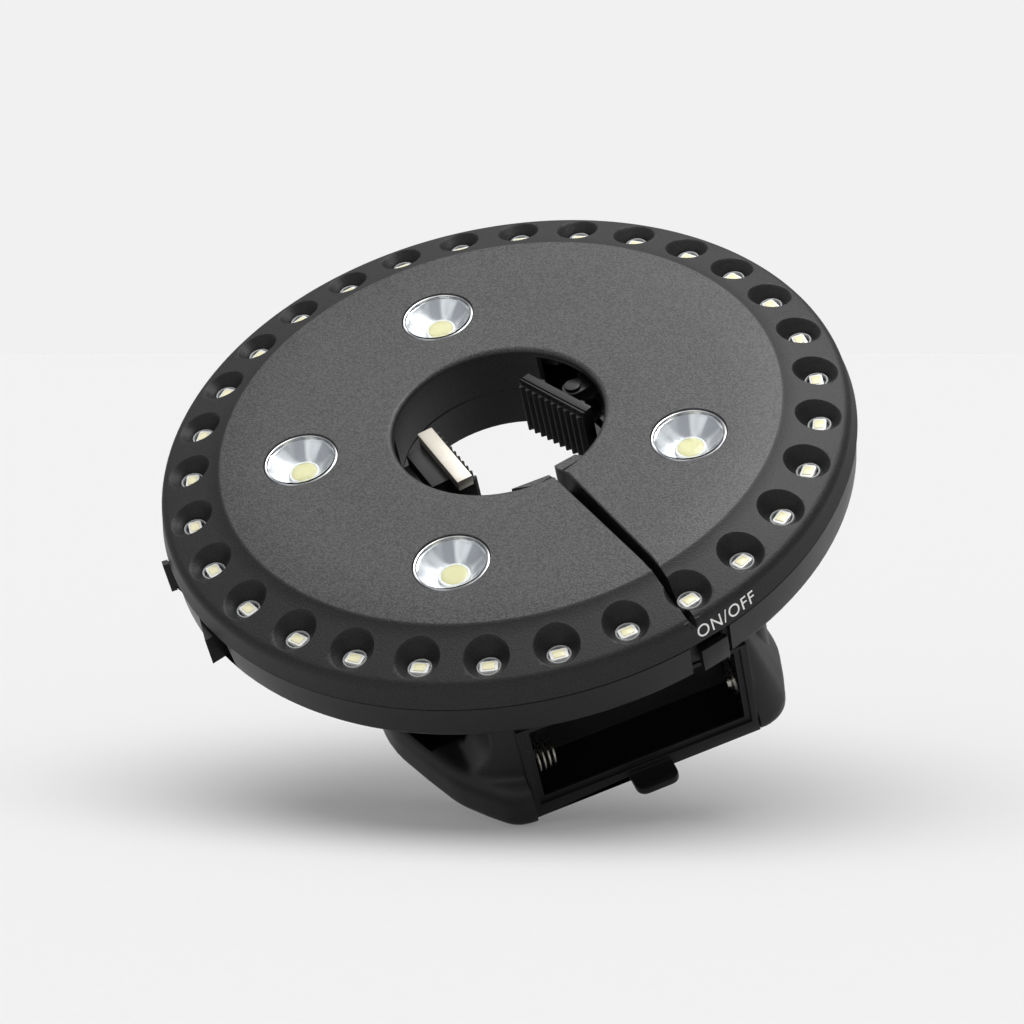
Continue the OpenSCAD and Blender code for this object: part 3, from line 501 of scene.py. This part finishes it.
lamp_ring, wound_spring, rib_row = ring_tree(), coil_tree(), row_tree()


def as_shape(mesh):
    """An object that a tree copies; it is removed again by drop_shape."""
    shape = bpy.data.objects.new("shape", mesh)
    scene.collection.objects.link(shape)
    return shape


def drop_shape(shape):
    bpy.data.objects.remove(shape)


# ---------- sizes shared with the part ----------

disc_r, disc_z, disc_top, split_z = 92.8, 31.2, 53.2, 41.6
hole_r, hole_split_z, wall, flat_r = 28.0, 39.0, 2.2, 74.4
rim_count, first_lamp = 30, -76.2
band_slope, side_slope = 0.2687, 0.2137
board_top, seat_z = 45.9, 51.0
slot_a, left_jaw_a, right_jaw_a = -79.1, 187.7, 10.9
spots = {"back": (90, 49.5), "left": (166.1, 52.7), "front": (-122.5, 53.2), "right": (-37.8, 52.0)}


def polar(angle, r):
    return r * math.cos(math.radians(angle)), r * math.sin(math.radians(angle))


def lamp_places():
    """One point for each rim lamp, in the middle of that lamp's solid in the frame."""
    solids = {}
    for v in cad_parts["rim_led_set"].data.vertices:
        turn = math.degrees(math.atan2(v.co.y, v.co.x)) - first_lamp
        solids.setdefault(round(turn / (360 / rim_count)) % rim_count, []).append(v.co)
    points = []
    for step in sorted(solids):
        xs, ys = [co.x for co in solids[step]], [co.y for co in solids[step]]
        points.append(Vector(((min(xs) + max(xs)) / 2, (min(ys) + max(ys)) / 2, 0)))
    mesh = bpy.data.meshes.new("places")
    mesh.from_pydata(points, [], [])
    return mesh


def slot_outline(margin, start, end):
    """The cord slot seen from above between two radii, with a margin on both sides."""
    left = [(22, -2.4), (25.7, -1.6), (30, -0.4), (70, 0.3), (88, -0.6), (100, -1.3)]
    right = [(22, 1.7), (26.5, 1.9), (30, 3.1), (70, 2.7), (88, 1.3), (100, 0.3)]

    def edge(points, r):
        for (x0, y0), (x1, y1) in zip(points, points[1:]):
            if x0 <= r <= x1:
                return y0 + (y1 - y0) * (r - x0) / (x1 - x0)

    stops = sorted({start, end} | {x for x, _ in left + right if start < x < end})
    low = [(r, edge(left, r) - margin) for r in stops]
    high = [(r, edge(right, r) + margin) for r in reversed(stops)]
    turn = math.radians(slot_a)
    return [(x * math.cos(turn) - y * math.sin(turn), x * math.sin(turn) + y * math.cos(turn))
            for x, y in low + high]


# ---------- upper shell ----------

def upper_shell():
    """The upper shell: a turned skin with its pits, cord slot, spot lamps' holes and jaw windows cut in."""
    outer = ([(hole_r + 0.3, hole_split_z), (hole_r, hole_split_z + 0.3), (hole_r, 45)]
             + arc(hole_r + 1.7, disc_top - 1.7, 1.7, 180, 90, 12)
             + [(40, disc_top), (60, disc_top), (flat_r - 0.15, disc_top)]
             + [(flat_r + 0.2, disc_top - 0.12), (flat_r + 0.5, disc_top - 0.35)]
             + [(79, 51.63), (84, 50.34), (88.3, 49.25)] + arc(88.8, 46.0, 3, 76, 8, 14)
             + [(92.3, 43.9), (disc_r - 0.08, split_z + 0.5), (disc_r - 0.35, split_z + 0.2)])
    inner = [(disc_r - 1.1, split_z + 0.2), (disc_r - 1.1, split_z + 0.02), (disc_r - 2.2, split_z + 0.02),
             (disc_r - 2.6, board_top + 0.5), (88, board_top + 0.1), (76.5, board_top + 0.1), (75.5, seat_z),
             (hole_r + wall, seat_z), (hole_r + wall, hole_split_z)]
    shell = lathe(outer + inner, 480)
    mouth = [(-6, -27.3), (3.3, -25.5), (6.9, -24.8), (12.9, -23.6), (15, -25.5), (0, -29.4)]
    lips = cut(prism(mouth, 44.5, 53.1), lip_slope())
    channel = fused(prism(slot_outline(1.4, 29, 91), 43.1, 48.4), prism(slot_outline(1.4, 29, 76), 47, 51.5))
    seats = joined([lathe([(9.2, 51.5), (11.4, 51.5), (11.4, 48.9), (9.2, 48.9)], 64, polar(a, r))
                    for a, r in spots.values()])
    shell = fused(shell, lips, channel, seats)
    pit = as_shape(pit_cutter())
    places = as_shape(lamp_places())
    pits = grown(lamp_ring, Shape=pit, Places=places)
    drop_shape(pit)
    drop_shape(places)
    groove = fused(prism(slot_outline(0, 22, 88.5), 44.5, 56), prism(slot_outline(0, 88, 95), 47.1, 56),
                   slot_end())
    edges = groove_edges()
    windows = [turned(block((22, low, 33), (hole_r + wall + 2, high, 50.9)), a)
               for a, low, high in ((left_jaw_a, -13.5, 13.5), (right_jaw_a, -13.5, 18.5))]
    bore = [(0, 44), (10.0, 44), (10.0, 52.95), (10.25, 53.35), (10.25, 56), (0, 56)]
    holes = joined([lathe(bore, 96, polar(a, r), closed=False) for a, r in spots.values()])
    shell = cut(shell, pits, groove, edges, *windows, holes)
    return piece("upper_shell_skin", shell, "lamp", ["upper_shell"], shell_painted_sheen, 28)


def pit_cutter():
    """One lamp pit: round at its foot, its rolled mouth tilted into the sloping rim band."""
    rings = []
    for r, z, tilt in ((3.2, 44.0, 0), (3.2, 46.9, 0), (3.3, 47.15, 0.1), (3.75, 47.75, 0.3),
                       (4.35, 48.5, 0.5), (4.95, 49.3, 0.75), (5.35, 49.9, 0.9), (5.62, 50.26, 1),
                       (5.85, 50.46, 1), (6.2, 50.62, 1), (6.6, 50.8, 1), (7.4, 52.0, 1)):
        rings.append([(r * math.cos(t), r * math.sin(t), z - tilt * band_slope * r * math.cos(t)) for t in
                      [2 * math.pi * k / 64 for k in range(64)]])
    return loft(rings)


def lip_slope():
    """The slope that the slot's two lips fall away with, down from the flat top."""
    slope = block((-12, 0, 0), (4.4, 10, 6))
    slope.transform(Matrix.Translation(Vector((0, -27.5, disc_top)) * MM)
                    @ Matrix.Rotation(math.radians(-42), 4, "X"))
    return slope


def slot_end():
    """The rounded lower end of the cord slot in the side wall."""
    end = loft([[(x, 0.05 + 0.85 * math.cos(t), 47.0 + 0.85 * math.sin(t)) for t in
                 [2 * math.pi * k / 24 for k in range(24)]] for x in (88, 96)])
    return turned(end, slot_a)


def groove_edges():
    """A small bevel along both edges of the cord slot in the flat top."""
    rings = []
    for height, spread in ((disc_top - 0.3, 0.0), (disc_top + 0.4, 0.7)):
        rings.append([(x, y, height) for x, y in slot_outline(spread, 30, 74)])
    return loft(rings)


upper_shell()


def lower_shell():
    """The lower shell with the parting line's fine groove cut round its rim and round the hole."""
    rim_groove = lathe([(disc_r - 1.0, split_z - 0.2), (95, split_z - 0.3), (95, 43), (disc_r - 1.0, 43)], 480)
    hole_groove = lathe([(27, hole_split_z - 0.6), (hole_r, hole_split_z - 0.3),
                         (hole_r + 0.3, hole_split_z + 0.2), (27, hole_split_z + 0.2)], 240)
    shell = cut(cleaned("lower_shell"), rim_groove, hole_groove)
    piece("lower_shell_moulding", shell, "lamp", ["lower_shell"], satin_abs, 25)


lower_shell()


# ---------- lamps ----------

def rounded_outline(w, h, r, steps=5):
    points = []
    for cx, cy, start in ((w - r, h - r, 0), (r - w, h - r, 90), (r - w, r - h, 180), (w - r, r - h, 270)):
        points += [(cx + r * math.cos(math.radians(start + 90 * i / steps)),
                    cy + r * math.sin(math.radians(start + 90 * i / steps))) for i in range(steps + 1)]
    return points


def slab(w, h, r, low, high, edge):
    """A small rounded plate with an eased top."""
    return loft([[(x, y, low) for x, y in rounded_outline(w, h, r)],
                 [(x, y, high - edge) for x, y in rounded_outline(w, h, r)],
                 [(x, y, high - edge * 0.3) for x, y in
                  rounded_outline(w - edge * 0.3, h - edge * 0.3, r - edge * 0.3)],
                 [(x, y, high) for x, y in rounded_outline(w - edge, h - edge, r - edge)]])


def rim_lamps():
    """30 unlit lamps on the board, one under each pit: a white package, a yellow window and a pale rim."""
    bezel = [(r, board_top + z) for r, z in
             ((2.6, 0.05), (3.1, 0.05), (3.1, 0.95), (2.95, 1.1), (2.75, 1.1), (2.6, 0.95))]
    for name, shape, finish in (
            ("rim_lamp_packages", slab(1.75, 2.3, 0.75, board_top, board_top + 1.15, 0.2), lamp_white),
            ("rim_lamp_windows", slab(1.2, 1.5, 0.35, board_top + 0.9, board_top + 1.3, 0.12), rim_phosphor),
            ("rim_lamp_bezels", lathe(bezel, 40), lamp_rim_painted_shade)):
        source, places = as_shape(shape), as_shape(lamp_places())
        mesh = grown(lamp_ring, Shape=source, Places=places, Finish=finish)
        drop_shape(source)
        drop_shape(places)
        piece(name, mesh, "lamp", ["rim_led_set"], finish)


def spot_lamp(name, angle, r):
    """One spot lamp: its plated cup, clear cover, white ring and domed yellow window."""
    centre = polar(angle, r)
    bowl = [(4.1 + 4.5 * t, 48.5 + 3.35 * t ** 1.15) for t in [i / 10 for i in range(1, 11)]]
    cup = lathe([(4.0, 46.2), (4.1, 48.5)] + bowl + [
        (8.75, 52.0), (9.05, 52.1), (9.2, 52.5), (9.25, 52.9), (9.5, 53.0), (9.75, 52.85), (9.8, 52.5),
        (9.8, 50.75), (9.3, 50.6), (5.2, 46.2)], 96, centre)
    piece("reflector_cup_" + name, cup, "lamp", ["reflector_" + name], mirror, 40)
    cover = lathe([(0, 52.15), (8.6, 52.15), (8.95, 52.25), (9.05, 52.5), (9.05, 52.85), (8.9, 53.05),
                   (8.6, 53.1), (8.3, 53.0), (8.15, 52.85), (0, 52.8)], 96, centre, closed=False)
    piece("cover_" + name, cover, "lamp", ["spot_cover_" + name], clear_cover, 40)
    base = lathe([(0, 45.95), (4.0, 45.95), (4.0, 48.55), (3.85, 48.75), (3.35, 48.8), (3.3, 48.6), (0, 48.6)],
                 72, centre, closed=False)
    piece("lamp_ring_" + name, base, "lamp", ["spot_led_" + name], lamp_white)
    dome = lathe([(0, 48.5), (3.28, 48.5), (3.28, 48.75), (2.9, 48.95), (1.6, 49.1), (0, 49.15)], 72, centre,
                 closed=False)
    piece("lamp_window_" + name, dome, "lamp", ["spot_led_" + name], spot_phosphor, 60)


rim_lamps()
for spot_name, (spot_angle, spot_reach) in spots.items():
    spot_lamp(spot_name, spot_angle, spot_reach)


# ---------- jaws ----------

pad_len, pad_ribs, pad_low = 24.0, 10, 34.3
pivot, swivel_rest = (24.1, 2.6), 13.4


def ribbed_pad(high, face):
    """A rubber sheet with upright round-topped ribs on the side that meets the pole."""
    pitch = pad_len / pad_ribs
    crown = arc(-0.83, 0, 0.42, 90, 270, 8)
    profile = [(0.0, pitch * 0.4), (-0.3, pitch * 0.34)] + crown + [(-0.3, -pitch * 0.34), (0.0, -pitch * 0.4)]
    rib = as_shape(prism([(x - 0.2, y) for x, y in profile], pad_low + 0.1, high))
    ribs = grown(rib_row, Shape=rib, Count=pad_ribs, Pitch=pitch * MM, Finish=pad_rubber)
    drop_shape(rib)
    sheet = block((-0.4, -pad_len / 2, pad_low + 0.1), (0, pad_len / 2, high))
    return turned(joined([ribs, sheet]), 0, (face, 0, 0))


def in_left_jaw(mesh):
    return turned(mesh, left_jaw_a)


def in_right_face(mesh):
    return turned(turned(mesh, swivel_rest, (*pivot, 0)), right_jaw_a)


for side, mesh, body in (("left", in_left_jaw(ribbed_pad(48.3, 14.3)), "left_jaw"),
                         ("right", in_right_face(ribbed_pad(49.6, -7.7)), "right_jaw_face")):
    piece(side + "_pad_rubber", mesh, body, [side + "_jaw_pad"], pad_rubber)

# Every other small piece is its CAD solid with eased edges: node, body, edge radius, finish and slot
for node, body, edge, finish, slot in (
        ("left_jaw_plate", "left_jaw", 0.3, worn_abs, "dark_plastic"),
        ("left_jaw_carrier", "left_jaw", 0.3, worn_abs, "dark_plastic"),
        ("left_jaw_bar", "left_jaw", 0.3, bar_steel, "jaw_bar_metal"),
        ("right_jaw_plate", "right_jaw_face", 0.18, worn_abs, "dark_plastic"),
        ("right_jaw_carrier", "right_jaw", 0.25, worn_abs, "dark_plastic"),
        ("right_jaw_pin", "right_jaw", 0.15, worn_abs, "dark_plastic"),
        ("left_jaw_rods", "lamp", 0.2, zinc_steel, "steel"),
        ("right_jaw_rods", "lamp", 0.2, zinc_steel, "steel"),
        ("left_hook", "left_hook_body", 0.2, worn_abs, "dark_plastic"),
        ("left_hook_pin", "lamp", 0.15, zinc_steel, "steel"),
        ("power_button", "button", 0.35, worn_abs, "dark_plastic"),
        ("push_switch", "lamp", 0.15, chip_epoxy, "dark_plastic"),
        ("switch_board", "lamp", 0.1, green_mask, "circuit_board"),
        ("driver_chip", "lamp", 0.15, chip_epoxy, "dark_plastic"),
        ("front_battery_tray", "lamp", 0.45, bay_abs_painted_shade, "shell_plastic"),
        ("rear_battery_tray", "lamp", 0.45, bay_abs_painted_shade, "shell_plastic"),
        ("rear_battery_door", "rear_door", 0.3, satin_abs, "shell_plastic"),
        ("front_contact_plates", "lamp", 0.08, nickel, "contact_nickel"),
        ("rear_contact_plates", "lamp", 0.08, nickel, "contact_nickel"),
        ("shell_screws", "lamp", 0.12, zinc_steel, "steel"),
        ("housing_screws", "lamp", 0.12, zinc_steel, "steel"),
        ("board_screws", "lamp", 0.1, zinc_steel, "steel")):
    piece(node + "_eased", eased_copy(node, edge), body, [node], finish, 40)


# ---------- springs ----------

def jaw_spring(side, angle):
    """The coil that presses a jaw inwards, drawn at its shortest."""
    coil = grown(wound_spring, Turns=12.0, Foot=3.15 * MM, Tip=3.15 * MM, Length=18.8 * MM, Wire=0.42 * MM,
                 Finish=zinc_steel)
    coil.transform(Matrix.Translation(Vector((36.6, 0, disc_z + 10.3)) * MM)
                   @ Matrix.Rotation(math.pi / 2, 4, "Y"))
    piece(side + "_jaw_coil", turned(coil, angle), "lamp", [side + "_jaw_spring"], zinc_steel, 60)


def contact_coils(end, angle):
    """The two conical coils that press on the cells of one bay."""
    coils = []
    for x, z, facing in ((-27.95, 10.9, 1), (27.95, 25.4, -1)):
        coil = grown(wound_spring, Turns=4.5, Foot=4.6 * MM, Tip=3.2 * MM, Length=6.4 * MM, Wire=0.4 * MM,
                     Finish=nickel)
        coil.transform(Matrix.Translation(Vector((x + facing * 0.4, -77.5, z)) * MM)
                       @ Matrix.Rotation(facing * math.pi / 2, 4, "Y"))
        coils.append(coil)
    piece(end + "_contact_coils", turned(joined(coils), angle), "lamp", [end + "_contact_springs"], nickel,
          60)


jaw_spring("left", left_jaw_a)
jaw_spring("right", right_jaw_a)
contact_coils("front", 0)
contact_coils("rear", 180)


# ---------- battery housings ----------

# Circles (x, y, radius) whose common outline is the housing's rounded right end and its low left wing
lobe_parts = [(31.3, -78.1, 9.4), (26.4, -69.7, 16.9), (21.5, -61.3, 24)]
wing_parts = [(-31.5, -79.6, 9.2), (-27, -70.2, 18.6), (-22, -60.8, 28.1), (-21.3, -51.5, 32.1),
              (-20.5, -42, 36)]
plinth_h, cowl_t, foot_round, lobe_lean, wing_round = 13.0, 2.1, 1.8, 0.31, 4.5


def swell(parts, shrink, height, steps=160):
    """The rounded outline round a row of circles, each made smaller by the same amount."""
    ring = []
    for k in range(steps):
        a = 2 * math.pi * k / steps
        nx, ny = math.cos(a), math.sin(a)
        x, y, r = max(((x, y, max(r - shrink, 0.05)) for x, y, r in parts),
                      key=lambda c: c[0] * nx + c[1] * ny + c[2])
        ring.append((x + r * nx, y + r * ny, height))
    return ring


def foot_curve(z):
    """How far the housing's foot is rounded in at a height."""
    return foot_round - math.sqrt(max(foot_round ** 2 - (foot_round - z) ** 2, 0)) if z < foot_round else 0


def lobe(inset, top):
    """The rounded end beside the tray, leaning in as it rises; with an inset it is its inner hollow."""
    levels = [0, 0.15, 0.4, 0.8, 1.3, 1.8, 3] if not inset else [inset, 3]
    levels += [3 + (top - 3) * i / 12 for i in range(1, 13)]
    return loft([swell(lobe_parts, inset + (0 if inset else foot_curve(z)) + lobe_lean * max(z - 3, 0), z)
                 for z in levels])


def wing(inset, top):
    """The low wing with a rounded shoulder; with an inset it is its inner hollow."""
    if inset:
        return loft([swell(wing_parts, inset, z) for z in (inset, top)])
    shoulder = plinth_h - wing_round
    levels = [0, 0.15, 0.4, 0.8, 1.3, 1.8, 5]
    levels += [shoulder + wing_round * math.sin(math.pi / 2 * i / 8) for i in range(9)]
    return loft([swell(wing_parts, foot_curve(z) + (
        wing_round - math.sqrt(max(wing_round ** 2 - max(z - shoulder, 0) ** 2, 0))), z) for z in levels])


def flank():
    """The scooped wall between the wing and the tray."""
    column = lathe([(0, 3), (25.4, 3), (25.4, disc_z - 0.05), (0, disc_z - 0.05)], 160, (-22, -60.8),
                   closed=False)
    column = common(column, block((-50, -90, 2), (-20, -66, 32)))
    scoop = loft([[(-57 + 20.5 * math.cos(t), y, 27 + 20.5 * math.sin(t)) for t in
                   [2 * math.pi * k / 128 for k in range(128)]] for y in (-100, -40)])
    return cut(column, scoop)


def cowl(end, angle):
    """One housing's cowl, blended softly as a whole; its bay, hollows and screw towers are cut in crisply."""
    body = fused(block((-30.9, -84.6, 0), (30.9, -66, disc_z - 0.02)), lobe(0, disc_z - 0.02),
                 wing(0, plinth_h), flank())
    body = with_modifier(body, "REMESH", mode="VOXEL", voxel_size=0.75 * MM, adaptivity=0.0)
    body = with_modifier(body, "SMOOTH", factor=0.5, iterations=9)
    hollow = common(lobe(cowl_t, disc_z + 2), block((32.1, -90, -1), (60, -38.1, 36)))
    pocket = common(wing(cowl_t, plinth_h + 1), block((-80, -63.9, -1), (-32.1, -38.1, 32)))
    body = cut(body, hollow, pocket,
               block((-30.7, -100, -1), (30.7, -84.7, 33)), block((-30.0, -85.7, 1.8), (30.0, -67.9, 33)),
               block((-30.1, -66, -1), (30.1, 30, 33)), block((-80, -36, -1), (80, 30, 33)))
    for x, y, tower in ((37.4, -68, 26), (-33.6, -73.5, 5.8)):
        body = fused(body, lathe([(0, 0.2), (4.6, 0.2), (4.6, tower), (0, tower)], 48, (x, y), closed=False))
        body = cut(body, lathe([(0, -1), (3.4, -1), (3.4, 4), (1.7, 4), (1.7, 34), (0, 34)], 48, (x, y),
                               closed=False))
    piece(end + "_cowl_moulding", turned(body, angle), "lamp", [end + "_battery_cowl"], satin_abs,
          32)


cowl("front", 0)
cowl("rear", 180)


# ---------- marking ----------

def marking():
    """ON/OFF in white ink on the upper shell's side wall, over the button."""
    letters = bpy.data.curves.new("letters", "FONT")
    letters.body, letters.size, letters.extrude = "ON/OFF", 1.0, 0.02
    letters.space_character = 1.12
    holder = bpy.data.objects.new("letters", letters)
    scene.collection.objects.link(holder)
    mesh = bpy.data.meshes.new_from_object(holder.evaluated_get(bpy.context.evaluated_depsgraph_get()))
    bpy.data.objects.remove(holder)
    xs, ys = [v.co.x for v in mesh.vertices], [v.co.y for v in mesh.vertices]
    x0, wide, y0, tall = min(xs), max(xs) - min(xs), min(ys), max(ys) - min(ys)
    first_angle, span, foot_z, letter_h = -78.8, 11.0, 43.1, 3.3
    for v in mesh.vertices:
        angle = first_angle + span * (v.co.x - x0) / wide
        z = foot_z + letter_h * (v.co.y - y0) / tall
        r = disc_r - (z - split_z) * side_slope + (0.05 if v.co.z > 0 else -0.1)
        x, y = polar(angle, r)
        v.co = Vector((x, y, z)) * MM
    piece("on_off_marking", mesh, "lamp", [], white_ink)


marking()

# The circuit board shows its CAD solid as it is
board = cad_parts["led_board"].data
board.materials.clear()
board.materials.append(board_mask)


# ---------- studio ----------

def place_light(name, lamp, spot, toward):
    holder = bpy.data.objects.new(name, lamp)
    holder.matrix_world = Matrix.Translation(spot) @ toward.to_track_quat("Z", "Y").to_matrix().to_4x4()
    scene.collection.objects.link(holder)
    return holder


def studio():
    """A pale floor under the corner that the lamp leans on, tilted so that the camera sees it at 4 degrees.
    It glows a little, takes no light from the softbox and is clear when seen from below."""
    rise, floor_r, gap, glow_share = math.radians(4), 9.0, 0.0002, 0.14
    up = (-image_down * math.cos(rise) - look * math.sin(rise)).normalized()
    depth = min(up.dot(v.co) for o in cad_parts.values() for v in o.data.vertices)
    disc = bmesh.new()
    bmesh.ops.create_circle(disc, cap_ends=True, segments=96, radius=floor_r)
    mesh = bpy.data.meshes.new("studio_floor")
    disc.to_mesh(mesh)
    disc.free()
    mesh.transform(Matrix.Translation(up * (depth - gap)) @ up.to_track_quat("Z", "Y").to_matrix().to_4x4())
    floor = bpy.data.objects.new("studio_floor", mesh)
    scene.collection.objects.link(floor)
    material, tree, place = new_finish("studio_paper", "#f1f1f1")
    paper = noise(tree, place, 3, 2.0)
    matt = add(tree, "ShaderNodeBsdfDiffuse", links={"Color": mapped(tree, paper, to_low=0.86, to_high=0.88)})
    glow = add(tree, "ShaderNodeEmission", values={"Color": linear("#f2f2f2"), "Strength": 1.0})
    rays = add(tree, "ShaderNodeLightPath")
    seen = math_of(tree, "MAXIMUM", rays.outputs["Is Camera Ray"], rays.outputs["Is Glossy Ray"])
    seen = math_of(tree, "MAXIMUM", seen, rays.outputs["Is Transmission Ray"])
    share = add(tree, "ShaderNodeMath", {"operation": "MULTIPLY"}, values={1: glow_share}, links={0: seen})
    lit = add(tree, "ShaderNodeMixShader", links={
        "Fac": share.outputs[0], 1: matt.outputs[0], 2: glow.outputs[0]})
    side = add(tree, "ShaderNodeNewGeometry")
    nothing = add(tree, "ShaderNodeBsdfTransparent")
    shown = add(tree, "ShaderNodeMixShader", links={"Fac": side.outputs["Backfacing"], 1: lit.outputs[0],
                                                    2: nothing.outputs[0]})
    add(tree, "ShaderNodeOutputMaterial", links={"Surface": shown.outputs[0]})
    mesh.materials.append(material)

    world = bpy.data.worlds.new("studio")
    scene.world = world
    world.use_nodes = True
    tree = world.node_tree
    tree.nodes.clear()
    rays = add(tree, "ShaderNodeLightPath")
    seen = math_of(tree, "MAXIMUM", rays.outputs["Is Camera Ray"], rays.outputs["Is Transmission Ray"])
    room = add(tree, "ShaderNodeBackground", values={"Color": linear("#f2f2f2"), "Strength": 0.5})
    pale = add(tree, "ShaderNodeBackground", values={"Color": linear("#f1f1f1"), "Strength": 1.0})
    both = add(tree, "ShaderNodeMixShader", links={"Fac": seen, 1: room.outputs[0], 2: pale.outputs[0]})
    add(tree, "ShaderNodeOutputWorld", links={"Surface": both.outputs[0]})

    for name, toward, strength, spread in (("overhead", up, 1.8, 70),
                                          ("fill", Vector((-0.75, -0.35, 0.55)), 0.3, 50)):
        lamp = bpy.data.lights.new(name, "SUN")
        lamp.energy, lamp.angle = strength, math.radians(spread)
        place_light(name, lamp, Vector(), toward)

    # A softbox over the lamp's right side gives the sheen of the top; it doesn't light the floor
    lamp = bpy.data.lights.new("softbox", "AREA")
    lamp.shape, lamp.size, lamp.energy = "DISK", 0.26, 0.85
    toward = Vector((0.24, 0.12, 0.30))
    softbox = place_light("softbox", lamp, toward + Vector((0, 0, 0.05)), toward)
    spared = bpy.data.collections.new("spared_by_softbox")
    spared.objects.link(floor)
    softbox.light_linking.receiver_collection = spared
    spared.collection_objects[0].light_linking.link_state = "EXCLUDE"


studio()
scene.view_settings.view_transform = "Standard"
